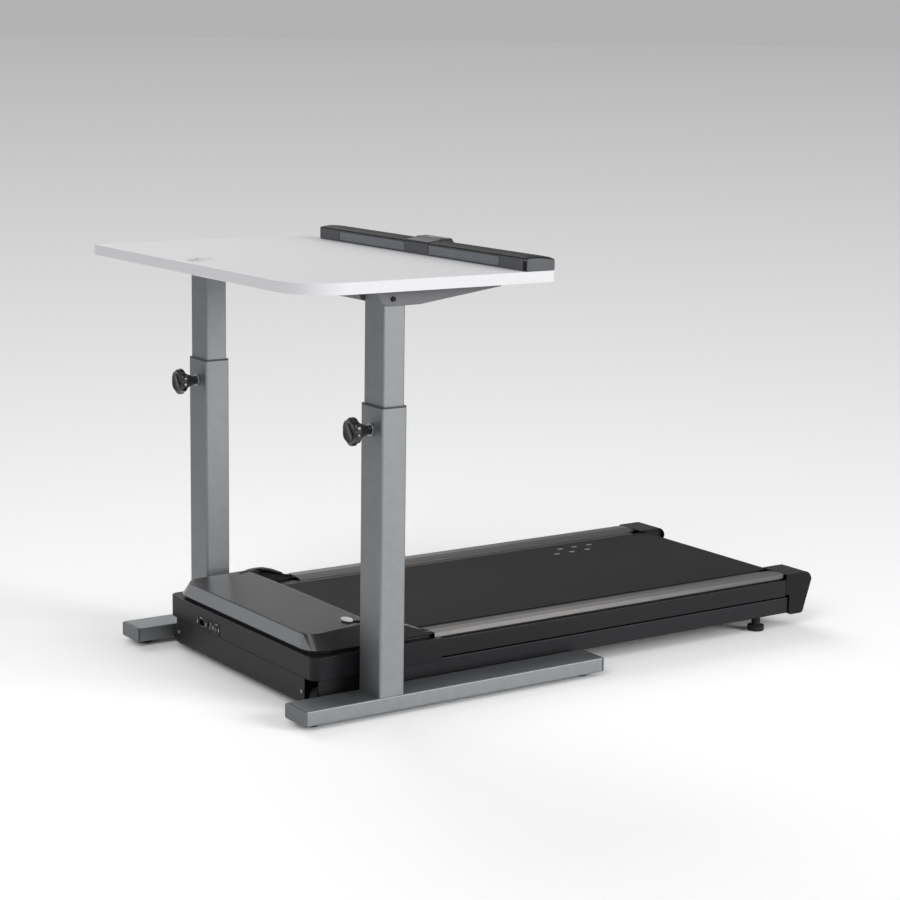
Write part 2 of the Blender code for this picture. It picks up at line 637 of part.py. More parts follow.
def column(word, x):
    """The outer tube, with a boss for the clamp knob, and the plastic collar in its mouth."""
    name = "column_" + word
    tube = rect_tube(name, COLUMN_HALF, (x, COLUMN_Y), WALL, (FOOT_Z[1] + GAP, COLUMN_TOP), "Z",
                     silver_paint(), 0.005)
    face = COLUMN_Y - COLUMN_HALF[1]
    join(tube, cylinder(name + "_boss", 0.0145, "Y", (x, face, KNOB_Z), (-0.0030, 0.0015), None, 32))
    cut(tube, cylinder(name + "_hole", 0.0056, "Y", (x, face, KNOB_Z), (-0.02, 0.010)))
    slack = WALL + GAP
    collar = prism("collar_" + word, rounded_box(COLUMN_HALF[0], COLUMN_HALF[1], (x, COLUMN_Y), 0.005, 3),
                   "Z", (COLUMN_TOP + GAP, COLLAR_TOP), grey_plastic(), round_angle=30)
    join(collar, prism(f"collar_{word}_skirt", rounded_box(COLUMN_HALF[0] - slack, COLUMN_HALF[1] - slack,
                                                           (x, COLUMN_Y), 0.002, 2),
                       "Z", (0.692, COLLAR_TOP - 0.001)))
    cut(collar, prism(f"collar_{word}_bore", rounded_box(POST_HALF[0] + GAP, POST_HALF[1] + GAP,
                                                         (x, COLUMN_Y), 0.0042, 3),
                      "Z", (0.68, 0.75)))


def knob(word, x):
    """A lobed clamp knob on a stud that presses on the sliding post."""
    face = COLUMN_Y - COLUMN_HALF[1]
    tip = COLUMN_Y - POST_HALF[1] - GAP - face
    profile = [(tip, 0), (tip, 0.0052), (-0.0034, 0.0052), (-0.0034, 0.0125), (-0.012, 0.0120),
               (-0.030, 0.0165), (-0.044, 0.0165), (-0.046, 0.0270), (-0.049, KNOB_R), (-0.057, KNOB_R),
               (-0.060, 0.0270), (-0.0605, 0.0220), (-0.0590, 0.0200), (-0.0590, 0)]
    part = turned("clamp_knob_" + word, profile, "Y", (x, face, KNOB_Z), gloss_black(), 36)
    for k in range(6):
        angle = radians(60 * k + 30)
        hollow = (x + 0.0385 * cos(angle), face, KNOB_Z + 0.0385 * sin(angle))
        cut(part, cylinder(f"clamp_knob_{word}_grip_{k}", 0.0115, "Y", hollow, (-0.07, -0.0445), None, 20))


# ---------------------------------------------------------------- desktop

def desk_frame():
    """Tapered channel arms on the posts and the cross beam between them."""
    side_view = [(-0.632, ARM_TOP), (-0.632, ARM_TOP - 0.006), (-0.617, 0.9640), (-0.596, 0.9560),
                 (-0.516, 0.9560), (-0.290, 0.9855), (-0.290, ARM_TOP)]
    steel = finish("arm_paint", (0.17, 0.175, 0.185), 0.45, 0.3)
    for word, side in SIDES:
        x = side * COLUMN_X
        name = "support_arm_" + word
        arm = prism(name, side_view, "X", (x - ARM_HALF, x + ARM_HALF), steel)
        cut(arm,
            box(name + "_channel", (x - ARM_HALF + WALL, x + ARM_HALF - WALL), (-0.70, -0.20),
                (0.90, ARM_TOP - 0.003)),
            cylinder(name + "_bolt_hole", 0.0045, "X", (x, -0.587, 0.9720), (-0.06, 0.06), None, 20))
    inside = COLUMN_X - ARM_HALF - 0.0005
    rect_tube("cross_beam", (0.030, 0.0155), (COLUMN_Y, ARM_TOP - 0.0192), 0.002, (-inside, inside), "X",
              silver_paint(), 0.003)


def desktop():
    """The desk board, with one large round front corner and a cable hole."""
    white = finish("desk_white", (0.80, 0.80, 0.82), 0.5)
    big, small = 0.110, 0.006
    x, (front, rear) = TOP_HALF, TOP_Y
    outline = arc((-x + small, front + small), small, 180, 270, 2)
    outline += arc((x - big, front + big), big, 270, 360, 12)
    outline += arc((x - small, rear - small), small, 0, 90, 2)
    outline += arc((-x + small, rear - small), small, 90, 180, 2)
    board = prism("desktop", outline, "Z", TOP_Z, white, round_angle=30)
    soften(board, 0.0012, 1, 60)
    cut(board, cylinder("desktop_hole", GROMMET_R - 0.0022, "Z", (GROMMET_X, GROMMET_Y, TOP_Z[1]),
                        (-0.05, 0.03), None, 32))
    top = TOP_Z[1] + GAP
    ring = turned("grommet", [(0.988 - top, GROMMET_R - 0.0052), (0.988 - top, GROMMET_R - 0.0026),
                              (0, GROMMET_R - 0.0026), (0, GROMMET_R), (0.0015, GROMMET_R),
                              (0.0024, GROMMET_R - 0.001), (0.0024, 0), (0.0004, 0),
                              (0.0004, GROMMET_R - 0.0052)],
                  "Z", (GROMMET_X, GROMMET_Y, top), finish("grommet_grey", (0.55, 0.55, 0.57), 0.5), 32,
                  bored=True)
    cut(ring, prism("grommet_slot", rounded_box(0.013, 0.006, (GROMMET_X, GROMMET_Y - 0.014), 0.005, 3), "Z",
                    (0.9, 1.1)))


# ---------------------------------------------------------------- console

def console():
    """Grey tray along the desk's rear edge, with arm pads on it and the keypad module between them."""
    y0, y1 = TRAY_Y
    mid = (y0 + y1) / 2
    base = TOP_Z[1] + GAP

    def crown(lift, half, steps=8):
        """Domed line across the tray, from its rear to its front."""
        points = []
        for k in range(steps + 1):
            y = (1 - 2 * k / steps) * half
            share = y / 0.040
            points.append((mid + y, TRAY_MID + TRAY_TILT * share + TRAY_DOME * share ** 2 + lift))
        return points

    tray = prism("console_tray", [(y0, base), (y1, base)] + crown(0, 0.040), "X", TRAY_X,
                 grey_plastic(), round_angle=30)
    soften(tray, 0.002, 2, 60)
    cut(tray, box("console_tray_room", (TRAY_X[0] + 0.008, TRAY_X[1] - 0.008), (y0 + 0.005, y1 - 0.004),
                  (1.0, 1.0415)))
    for k, span in enumerate(PANEL_X):
        cut(tray, box(f"console_tray_panel_{k}", span, (y0 - 0.01, y0 + 0.0016), (base + 0.0030, PANEL_TOP)))
    for k, x in enumerate((-0.3066, 0.0026, 0.1058, 0.4041, 0.4990)):
        cut(tray, box(f"console_tray_seam_{k}", (x - 0.0006, x + 0.0006), (y0 - 0.01, y0 + 0.0012),
                      (1.0, 1.1)))
    pad_cloth = finish("pad_black", (0.02, 0.02, 0.021), 0.75)
    gap_half = MODULE_HALF + GAP
    for word, span in (("left", (TRAY_X[0], MODULE_X - gap_half)),
                       ("right", (MODULE_X + gap_half, TRAY_X[1]))):
        under, over = crown(GAP, 0.0395), crown(PAD_THICK, 0.0375)
        soften(prism("arm_pad_" + word, under[::-1] + over, "X", span, pad_cloth, round_angle=30),
               0.0012, 1, 60)
    top = MODULE_TOP
    module_profile = crown(GAP, 0.0395)[::-1] + [
        (mid + 0.0390, top - 0.0120), (mid + 0.0300, top), (mid - 0.0020, top),
        (mid - 0.0110, top - 0.0040), (mid - 0.0385, top - 0.0072)]
    module = prism("display_module", module_profile, "X", (MODULE_X - MODULE_HALF, MODULE_X + MODULE_HALF),
                   gloss_black(), round_angle=30)
    key_grey = finish("key_grey", (0.35, 0.36, 0.38), 0.5)
    for word, offset in BUTTONS:
        centre = (MODULE_X + offset, BUTTON_Y, top)
        cut(module, cylinder(f"button_{word}_pocket", BUTTON_R + GAP, "Z", centre, (-0.0048, 0.01)))
        turned("button_" + word, [(-0.0045 + BUTTON_TRAVEL, 0), (-0.0045 + BUTTON_TRAVEL, BUTTON_R),
                                  (0.0010, BUTTON_R), (0.0018, BUTTON_R - 0.0012), (0.0018, 0)],
               "Z", centre, key_grey, 20)
    cut(module, box("display_window", (MODULE_X - 0.0130, MODULE_X + 0.0130), (mid, mid + 0.0270),
                    (top - 0.0008, top + 0.01)))
    safety_key(tray)


def safety_key(tray):
    """A key in the tray's rear face, on the walker's side; pulling it out stops the belt."""
    rear = TRAY_Y[1]
    cut(tray, box("key_socket", (MODULE_X - 0.0075, MODULE_X + 0.0075), (rear - 0.010, rear + 0.010),
                  (KEY_Z - 0.0032, KEY_Z + 0.0032)))
    key = prism("safety_key", rounded_box(0.0100, 0.0058, (MODULE_X, KEY_Z), 0.004, 3), "Y",
                (rear + GAP, rear + 0.0070), finish("key_red", (0.55, 0.03, 0.02), 0.45),
                (MODULE_X, rear, KEY_Z), 30)
    join(key, box("safety_key_stem", (MODULE_X - 0.0070, MODULE_X + 0.0070), (rear - 0.0036, rear + 0.001),
                  (KEY_Z - 0.0027, KEY_Z + 0.0027)))


def main():
    clear_scene()
    frame_rails()
    cross_members()
    deck()
    rollers()
    walking_belt()
    drive()
    front_housing()
    front_panel()
    motor_hood()
    foot_rails_and_skirts()
    rear_caps()
    wheels_and_feet()
    power_panel()
    desk_legs()
    desk_frame()
    desktop()
    console()


main()
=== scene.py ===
"""Looks for a walking treadmill that stands under a height-adjustable desk.

The CAD parts keep their places; this script gives them their finishes and adds the
moulded, turned and padded pieces that need a softer shape than the CAD has.
"""

import bpy
import json
from math import cos, pi, radians, sin
from mathutils import Matrix, Vector


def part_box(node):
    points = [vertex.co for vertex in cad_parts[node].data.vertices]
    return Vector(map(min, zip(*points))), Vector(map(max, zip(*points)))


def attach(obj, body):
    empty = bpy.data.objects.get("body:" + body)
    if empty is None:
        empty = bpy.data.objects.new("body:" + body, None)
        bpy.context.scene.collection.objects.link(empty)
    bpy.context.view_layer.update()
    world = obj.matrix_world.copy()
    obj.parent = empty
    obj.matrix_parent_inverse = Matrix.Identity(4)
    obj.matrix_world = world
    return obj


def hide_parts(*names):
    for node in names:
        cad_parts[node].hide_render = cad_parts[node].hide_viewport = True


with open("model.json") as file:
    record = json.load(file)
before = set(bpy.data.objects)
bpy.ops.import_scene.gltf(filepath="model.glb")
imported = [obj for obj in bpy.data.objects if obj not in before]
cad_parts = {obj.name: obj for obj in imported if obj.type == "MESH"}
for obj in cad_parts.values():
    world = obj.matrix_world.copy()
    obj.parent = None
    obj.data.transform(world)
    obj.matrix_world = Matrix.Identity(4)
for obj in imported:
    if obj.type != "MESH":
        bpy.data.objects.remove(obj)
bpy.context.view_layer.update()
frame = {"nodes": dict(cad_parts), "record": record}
nodes = frame["nodes"]
slots = {part["node"]: part["material_slot"] for part in frame["record"]["subparts"]}
bodies = frame["record"]["behaviour"]["bodies"]
body_of = {node: body for body, held in bodies.items() for node in held}
HANDS = ("left", "right")
SIDES = (("left", -1), ("right", 1))    # each hand, with the sign of its x


# ---------------------------------------------------------------- measures, in metres

PLUG = 0.0041                           # what shows of the plug in each end of a foot tube
FOOT_ENDS = (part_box("desk_foot_left")[0].y + PLUG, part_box("desk_foot_left")[1].y - PLUG)

BELT_MARKS = ((-0.218, 0.421), (-0.220, 0.472), (-0.220, 0.525),
              (-0.175, 0.377), (-0.176, 0.431), (-0.1775, 0.486))
MARK_HALF = (0.0058, 0.0100)            # half the width and half the length of a printed oval
UPPER_RUN = 0.130                       # the belt's upper run lies above this height
EMBOSS_PITCH = 0.0026
RIB_PITCH = 0.0030
RAIL_CREST = (0.3165, 0.3185)           # where a rail's inner slope meets its top, from the middle
PAINTED_SHADE_SPAN = (-0.10, 0.72)                 # along the rails, where painted shade darkens them towards the rear
BOARD_FACE = (0.0876, 0.0880)           # heights where the board ends and its parts begin
DECK_FACE = (0.1340, 0.1350)            # heights where the deck's wood ends and its face begins

HOOD_COLUMNS, HOOD_ROWS = 72, 64
HOOD_PAINTED_LIGHT_DEPTH = (0.0085, 0.0115)            # painted light on the front wall fades out this far behind its front
HOOD_PAINTED_LIGHT_HEIGHTS = (0.1730, 0.1765)            # and between these heights
BADGE = (0.262, -0.580, 0.1868)

SCREW_HEIGHT, SCREW_INSET = 0.0445, 0.012
NOSE, NOSE_RADIUS = (0.8121, 0.1215), 0.0215    # upper round of a rear cap: its centre in y and z
HEEL, HEEL_RADIUS = (0.8005, 0.0435), 0.0065    # lower round
CAP_WALL = 0.2684                       # the inner wall's distance from the middle

ARM_BOLT = (-0.587, 0.9720)             # y and z
DOME_TOP, DOME_TILT, DOME_FALL, DOME_HALF = 1.0515, 0.0025, 0.0036, 0.040
CONSOLE_PANELS = ((-0.3046, 0.0006), (0.1078, 0.4021))
PANEL_TOP = 1.0472
STRIP, STRIP_TOP = (0.5000, 0.5128), 1.0455
GLASS = (-0.2168, -0.1902)              # front and rear of the lens
GLASS_HALF = 0.0128


# ---------------------------------------------------------------- shader maths

class Socket:
    """One output in a node tree. Operators on it add Math nodes."""

    def __init__(self, paint, output):
        self.paint, self.output = paint, output

    def math(self, operation, *values):
        return self.paint.node("ShaderNodeMath", {"operation": operation}, values)

    def __add__(self, other):
        return self.math("ADD", self, other)

    __radd__ = __add__

    def __mul__(self, other):
        return self.math("MULTIPLY", self, other)

    __rmul__ = __mul__

    def __sub__(self, other):
        return self.math("SUBTRACT", self, other)

    def __rsub__(self, other):
        return self.math("SUBTRACT", other, self)

    def __truediv__(self, other):
        return self.math("DIVIDE", self, other)

    def __rtruediv__(self, other):
        return self.math("DIVIDE", other, self)

    def __gt__(self, other):
        return self.math("GREATER_THAN", self, other)

    def __lt__(self, other):
        return self.math("LESS_THAN", self, other)

    def __abs__(self):
        return self.math("ABSOLUTE", self)

    def power(self, other):
        return self.math("POWER", self, other)

    def root(self):
        return self.math("SQRT", self)

    def sine(self):
        return self.math("SINE", self)

    def most(self, other):
        """The larger of the two."""
        return self.math("MAXIMUM", self, other)

    def step(self, low, high):
        """0 below low, 1 above high, smooth between."""
        return self.paint.node("ShaderNodeMapRange", {"interpolation_type": "SMOOTHSTEP"},
                               {"Value": self, "From Min": low, "From Max": high})


class Paint:
    """A procedural finish, built on one Principled shader."""

    def __init__(self, name, colour, roughness, metallic=0.0, **constants):
        self.material = bpy.data.materials.new(name)
        self.material.use_nodes = True
        self.tree = self.material.node_tree
        self.shader = self.tree.nodes["Principled BSDF"]
        self.set(Base_Color=colour, Roughness=roughness, Metallic=metallic, **constants)
        self.place = self.node("ShaderNodeTexCoord", output="Object")
        axes = self.node("ShaderNodeSeparateXYZ", values=[self.place], whole=True)
        self.x, self.y, self.z = (Socket(self, axes.outputs[k]) for k in range(3))

    def feed(self, node, values):
        pairs = values.items() if isinstance(values, dict) else enumerate(values)
        for key, value in pairs:
            entry = node.inputs[key]
            if isinstance(value, Socket):
                self.tree.links.new(value.output, entry)
            elif entry.type == "RGBA" and len(value) == 3:
                entry.default_value = (*value, 1.0)
            else:
                entry.default_value = value

    def node(self, kind, settings=None, values=(), output=0, whole=False):
        """Any node: its settings first, then its sockets' values or links."""
        made = self.tree.nodes.new(kind)
        for key, value in (settings or {}).items():
            setattr(made, key, value)
        self.feed(made, values)
        return made if whole else Socket(self, made.outputs[output])

    def set(self, **values):
        """Values or links for the shader's sockets; an underscore stands for a space."""
        self.feed(self.shader, {key.replace("_", " "): value for key, value in values.items()})
        return self

    def noise(self, scale, detail=2.0, roughness=0.5, vector=None):
        return self.node("ShaderNodeTexNoise", None,
                         {"Vector": vector or self.place, "Scale": scale, "Detail": detail,
                          "Roughness": roughness})

    def cells(self, scale, feature):
        return self.node("ShaderNodeTexVoronoi", {"feature": feature},
                         {"Vector": self.place, "Scale": scale})

    def stretched(self, x, y, z):
        """Object coordinates scaled by a different amount along each axis."""
        return self.node("ShaderNodeMapping", None, {"Vector": self.place, "Scale": (x, y, z)})

    def blend(self, factor, first, second):
        """Mix two colours, the second where factor is 1."""
        made = self.node("ShaderNodeMix", {"data_type": "RGBA"}, whole=True)
        colours = [entry for entry in made.inputs if entry.type == "RGBA"]
        outputs = [entry for entry in made.outputs if entry.type == "RGBA"]
        for entry, value in ((made.inputs[0], factor), (colours[0], first), (colours[1], second)):
            if isinstance(value, Socket):
                self.tree.links.new(value.output, entry)
            elif entry.type == "RGBA":
                entry.default_value = (*value, 1.0)
            else:
                entry.default_value = value
        return Socket(self, outputs[0])

    def bump(self, height, depth, strength=1.0):
        """Raise the surface by `height` times `depth` metres."""
        normal = self.node("ShaderNodeBump", None,
                           {"Height": height, "Distance": depth, "Strength": strength})
        return self.set(Normal=normal)


def tinted(colour, share):
    """The colour made darker or lighter."""
    return tuple(c * share for c in colour)


def mottle(paint, clouds, grain):
    """Broad clouds with a fine grain over them, each at its own scale."""
    return paint.noise(clouds, 4.0, 0.6) * 0.6 + paint.noise(grain, 1.0) * 0.4


def speckled(paint, colour, spread, clouds, grain):
    """Vary a colour gently, and return the pattern that varies it."""
    share = mottle(paint, clouds, grain)
    paint.set(Base_Color=paint.blend(share.step(0.3, 0.7), tinted(colour, 1 - spread),
                                     tinted(colour, 1 + spread)))
    return share


def spark_pits(paint, grain):
    """The fine pits that a spark-eroded mould leaves."""
    return paint.cells(grain, "SMOOTH_F1") + paint.noise(grain * 0.6, 2.0) * 0.5


def scuffs(paint):
    """Large soft patches where hands and feet have rubbed."""
    return paint.noise(9.0, 5.0, 0.62).step(0.52, 0.78)


# ---------------------------------------------------------------- finishes

def powder_coat(name, colour, roughness, metallic):
    """Baked powder paint: fine orange peel and a faint sparkle."""
    paint = Paint(name, colour, roughness, metallic)
    share = speckled(paint, colour, 0.06, 35.0, 1400.0)
    peel = paint.noise(620.0, 2.0, 0.5)
    paint.set(Roughness=share * 0.10 + peel * 0.10 + (roughness - 0.10))
    return paint.bump(peel, 0.00010, 0.6)


def silver_coat():
    """Silver powder paint on the desk's steel; the plugs in the foot tubes are grey plastic."""
    dark, light, plug = (0.222, 0.232, 0.241), (0.250, 0.261, 0.270), (0.090, 0.094, 0.101)
    paint = Paint("silver_powder_coat", light, 0.5)
    share = mottle(paint, 35.0, 1400.0)
    tone = paint.blend(share.step(0.3, 0.7), dark, light)
    ends = (paint.y < FOOT_ENDS[0]).most(paint.y > FOOT_ENDS[1])
    peel = paint.noise(620.0, 2.0, 0.5)
    paint.set(Base_Color=paint.blend(ends, tone, plug), Metallic=(1 - ends) * 0.90,
              Roughness=share * 0.08 + peel * 0.08 + 0.42)
    return paint.bump(peel, 0.00009, 0.6)


def moulded(name, colour, roughness, grain=1500.0, **constants):
    """Injection-moulded plastic with a fine spark-eroded grain."""
    paint = Paint(name, colour, roughness, **constants)
    share = speckled(paint, colour, 0.08, 25.0, 1100.0)
    pits = spark_pits(paint, grain)
    paint.set(Roughness=share * 0.06 + scuffs(paint) * 0.08 + (roughness - 0.05))
    return paint.bump(pits, 0.00008, 0.7)


def hood_plastic():
    """Satin hood: warm black on top, with painted light that makes its front wall paler and
    cooler.
    """
    top, wall = (0.0130, 0.0122, 0.0117), (0.165, 0.174, 0.190)
    paint = Paint("hood_plastic", top, 0.26, Coat_Weight=0.25, Coat_Roughness=0.22)
    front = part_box("motor_hood")[0].y
    # painted light: the front wall is painted a paler, cooler grey, as if lit from the front
    face = 1 - paint.y.step(front + HOOD_PAINTED_LIGHT_DEPTH[0], front + HOOD_PAINTED_LIGHT_DEPTH[1])
    face = face * (1 - paint.z.step(*HOOD_PAINTED_LIGHT_HEIGHTS))
    share = mottle(paint, 25.0, 1100.0)
    tone = paint.blend(share.step(0.3, 0.7), top, tinted(top, 1.15))
    paint.set(Base_Color=paint.blend(face, tone, wall),
              Roughness=share * 0.06 + scuffs(paint) * 0.06 + 0.22)
    return paint.bump(spark_pits(paint, 1300.0), 0.00004, 0.6)


def glossy(name, colour, roughness):
    """Polished plastic with the slight waviness of a moulding and a few hair scratches."""
    paint = Paint(name, colour, roughness, Coat_Weight=0.4, Coat_Roughness=0.08)
    hairs = paint.noise(140.0, 6.0, 0.75, paint.stretched(1.0, 6.0, 1.0)).step(0.60, 0.72)
    paint.set(Base_Color=paint.blend(paint.noise(80.0, 3.0), tinted(colour, 0.8),
                                     tinted(colour, 1.3)),
              Roughness=hairs * 0.12 + roughness)
    return paint.bump(paint.noise(160.0, 2.0), 0.00006, 0.5)


def turned_steel(name, colour):
    """Steel with the fine rings that turning leaves round its X axis."""
    paint = Paint(name, colour, 0.30, 1.0)
    rings = paint.noise(1.0, 3.0, 0.6, paint.stretched(900.0, 12.0, 12.0))
    bloom = paint.noise(30.0, 4.0, 0.6)
    paint.set(Base_Color=paint.blend(bloom, tinted(colour, 0.78), colour),
              Roughness=rings * 0.16 + bloom * 0.10 + 0.16)
    return paint.bump(rings, 0.00004, 0.6)


def rubber(name, colour):
    """Matt rubber with a fine moulded roughness."""
    paint = Paint(name, colour, 0.80, Specular_IOR_Level=0.2)
    share = speckled(paint, colour, 0.18, 50.0, 700.0)
    paint.set(Roughness=share * 0.12 + 0.70)
    return paint.bump(paint.noise(1000.0, 3.0, 0.6), 0.00015, 0.7)


def belt_weave():
    """Black walking belt: a fine diamond emboss, a lengthwise thread and six printed ovals."""
    dark, light = (0.0080, 0.0080, 0.0080), (0.0140, 0.0140, 0.0142)
    polished, ink = (0.024, 0.024, 0.025), (0.30, 0.30, 0.30)
    paint = Paint("belt_weave", dark, 0.62, Specular_IOR_Level=0.12)
    pitch = 2 * pi / EMBOSS_PITCH
    diamonds = ((paint.x + paint.y) * pitch).sine().most(((paint.x - paint.y) * pitch).sine())
    thread = paint.noise(1.0, 2.0, 0.5, paint.stretched(1500.0, 90.0, 90.0))
    dust = paint.noise(7.0, 5.0, 0.65)
    wear = (1 - abs(paint.x).step(0.03, 0.20)) * dust.step(0.35, 0.75)
    cloth = paint.blend(thread * 0.5 + dust * 0.5, dark, light)
    cloth = paint.blend(wear * 0.35, cloth, polished)
    marks = None
    for x, y in BELT_MARKS:
        across, along = (paint.x - x) / MARK_HALF[0], (paint.y - y) / MARK_HALF[1]
        mark = 1 - (across.power(2.0) + along.power(2.0)).step(0.85, 1.05)
        marks = marks.most(mark) if marks else mark
    rubbed = paint.noise(900.0, 3.0, 0.7).step(0.25, 0.5) * 0.25 + 0.75
    marks = marks * (paint.z > UPPER_RUN) * rubbed
    paint.set(Base_Color=paint.blend(marks, cloth, ink),
              Roughness=thread * 0.10 + dust * 0.10 + 0.52)
    return paint.bump(diamonds * 0.6 + thread * 0.4, 0.00014, 0.8)


def ribbed_rail():
    """Grey anodised rail: fine grip ribs along its length, darker on the inner slope,
    and painted shade that darkens it towards the rear.
    """
    outer, inner = (0.300, 0.291, 0.285), (0.125, 0.120, 0.117)
    dirt, painted_shade = (0.085, 0.083, 0.081), (0.062, 0.060, 0.059)
    paint = Paint("ribbed_rail", outer, 0.45, 0.55)
    across = abs(paint.x)
    ribs = (across * (2 * pi / RIB_PITCH)).sine()
    brushed = paint.noise(1.0, 3.0, 0.6, paint.stretched(700.0, 9.0, 700.0))
    grit = paint.noise(700.0, 3.0, 0.7)
    tone = paint.blend(across.step(*RAIL_CREST), inner, outer)
    tone = paint.blend((grit * 0.5 + brushed * 0.5).step(0.35, 0.70) * 0.55, tone, dirt)
    # painted shade: the rail darkens towards the rear
    tone = paint.blend(paint.y.step(*PAINTED_SHADE_SPAN) * 0.62, tone, painted_shade)
    paint.set(Base_Color=tone, Roughness=brushed * 0.20 + 0.34)
    return paint.bump(ribs * 0.7 + grit * 0.3, 0.00022, 0.8)


def laminate():
    """White desk board: a pearl-textured face and a plain edge band with a hairline joint."""
    face, band, seam = (0.80, 0.80, 0.815), (0.68, 0.68, 0.70), (0.45, 0.45, 0.47)
    paint = Paint("white_laminate", face, 0.42)
    bottom, top = (corner.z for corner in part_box("desktop"))
    near, sheet, far = 0.0012, 0.0014, 0.0016       # about the laminate's thickness
    side = (1 - paint.z.step(top - far, top - near)) * paint.z.step(bottom + near, bottom + far)
    joint = 1 - abs(paint.z - (top - sheet)).step(0.0, 0.0003)
    pearl = paint.noise(520.0, 2.0, 0.55)
    cloud = paint.noise(4.0, 3.0, 0.5)
    tone = paint.blend(cloud * 0.5, face, tinted(face, 0.97))
    tone = paint.blend(side, tone, band)
    paint.set(Base_Color=paint.blend(joint * 0.35, tone, seam),
              Roughness=pearl * 0.12 + cloud * 0.06 + 0.36)
    return paint.bump(pearl, 0.00006, 0.5)


def soft_skin():
    """Soft-touch covering of the arm pads: fine leather-like grain."""
    colour = (0.013, 0.013, 0.014)
    paint = Paint("soft_skin", colour, 0.60, Specular_IOR_Level=0.2)
    creases = paint.cells(420.0, "DISTANCE_TO_EDGE").step(0.0, 0.12)
    share = speckled(paint, colour, 0.08, 30.0, 900.0)
    paint.set(Roughness=share * 0.10 + (1 - creases) * 0.15 + 0.45)
    return paint.bump(creases + paint.noise(900.0, 2.0) * 0.3, 0.00012, 0.7)


def circuit_board():
    """Green lacquered board with copper tracks under it, and dark parts standing on it."""
    green, track = (0.012, 0.085, 0.036), (0.030, 0.150, 0.060)
    housing, solder = (0.03, 0.03, 0.035), (0.09, 0.09, 0.09)
    paint = Paint("circuit_board", green, 0.35)
    grid = paint.node("ShaderNodeTexBrick", {"offset": 0.35},
                      {"Vector": paint.place, "Scale": 90.0, "Mortar Size": 0.08, "Color1": green,
                       "Color2": green, "Mortar": track})
    tone = paint.blend(paint.z.step(*BOARD_FACE), grid, housing)
    speck = paint.noise(400.0, 2.0)
    paint.set(Base_Color=paint.blend(speck * 0.25, tone, solder), Roughness=speck * 0.2 + 0.28)
    return paint.bump(speck, 0.00008, 0.5)


def waxed_deck():
    """Black laminate on the deck board, polished lengthwise by the belt."""
    paint = Paint("waxed_deck", (0.02, 0.02, 0.02), 0.35)
    rub = paint.noise(1.0, 4.0, 0.6, paint.stretched(260.0, 5.0, 260.0))
    edge = 1 - paint.z.step(*DECK_FACE)
    wood = paint.blend(rub, (0.16, 0.11, 0.07), (0.24, 0.17, 0.11))
    face = paint.blend(rub, (0.014, 0.014, 0.014), (0.030, 0.029, 0.028))
    paint.set(Base_Color=paint.blend(edge, face, wood), Roughness=rub * 0.20 + edge * 0.3 + 0.22)
    return paint.bump(rub, 0.00006, 0.5)


silver = silver_coat()
bracket = powder_coat("bracket_powder_coat", (0.125, 0.127, 0.133), 0.45, 0.4)
chassis = powder_coat("chassis_powder_coat", (0.0125, 0.0125, 0.0145), 0.50, 0.6)
charcoal = moulded("charcoal_plastic", (0.0095, 0.0095, 0.0112), 0.40,
                   Specular_IOR_Level=0.14, Coat_Weight=0.12, Coat_Roughness=0.16)
hood_skin = hood_plastic()
cap_skin = moulded("rear_cap_plastic", (0.0060, 0.0060, 0.0070), 0.45, 1300.0,
                   Specular_IOR_Level=0.12, Coat_Weight=0.06, Coat_Roughness=0.2)
tray_grey = moulded("tray_plastic", (0.068, 0.071, 0.078), 0.42)
inset_grey = moulded("console_panel_plastic", (0.150, 0.161, 0.178), 0.40)
collar_grey = moulded("collar_plastic", (0.030, 0.031, 0.033), 0.45)
plug_grey = moulded("foot_cap_plastic", (0.098, 0.103, 0.110), 0.42)
pale_grey = moulded("pale_plastic", (0.66, 0.66, 0.67), 0.45)
key_cap = moulded("key_plastic", (0.24, 0.25, 0.27), 0.45)
key_red = glossy("red_plastic", (0.45, 0.022, 0.016), 0.22)
piano = glossy("gloss_black_plastic", (0.007, 0.007, 0.008), 0.20)
knob_shine = glossy("knob_bar_plastic", (0.030, 0.030, 0.031), 0.16)
bezel_black = moulded("bezel_plastic", (0.004, 0.004, 0.0045), 0.35, Specular_IOR_Level=0.2)
bolt_black = turned_steel("black_oxide", (0.045, 0.045, 0.048))
lens = glossy("display_lens", (0.004, 0.005, 0.007), 0.08)
badge_silver = powder_coat("badge_silver", (0.66, 0.66, 0.68), 0.30, 0.35)
steel = turned_steel("turned_steel", (0.48, 0.48, 0.49))
print_white = moulded("printed_white", (0.78, 0.78, 0.78), 0.55)
motor_paint = powder_coat("motor_enamel", (0.045, 0.045, 0.050), 0.34, 0.5)
tyre = rubber("wheel_tread", (0.014, 0.014, 0.015))
foot_rubber = rubber("moulded_rubber", (0.017, 0.017, 0.017))
belt = belt_weave()
rail = ribbed_rail()
board = laminate()
skin = soft_skin()

FINISHES = {
    "black_steel": chassis, "deck_laminate": waxed_deck(), "black_rubber": foot_rubber,
    "belt_fabric": belt, "bright_steel": steel, "motor_casing": motor_paint,
    "board_green": circuit_board(), "charcoal_plastic": charcoal, "rail_aluminium": rail,
    "wheel_black": tyre, "gloss_black": piano, "silver_paint": silver, "grey_plastic": tray_grey,
    "arm_paint": bracket, "desk_white": board, "grommet_grey": pale_grey, "pad_black": skin,
    "key_grey": key_cap, "key_red": key_red,
}
SPECIAL = {"motor_hood": hood_skin, "collar_left": collar_grey, "collar_right": collar_grey,
           "rear_cap_left": cap_skin, "rear_cap_right": cap_skin}


def finish_of(node):
    """A CAD part's own finish, or the one of its material slot."""
    return SPECIAL.get(node, FINISHES[slots[node]])


def coat(piece, finish):
    """Give the piece this finish and no other."""
    held = piece.data.materials
    held.clear()
    held.append(finish.material)


for part in slots:
    coat(nodes[part], finish_of(part))


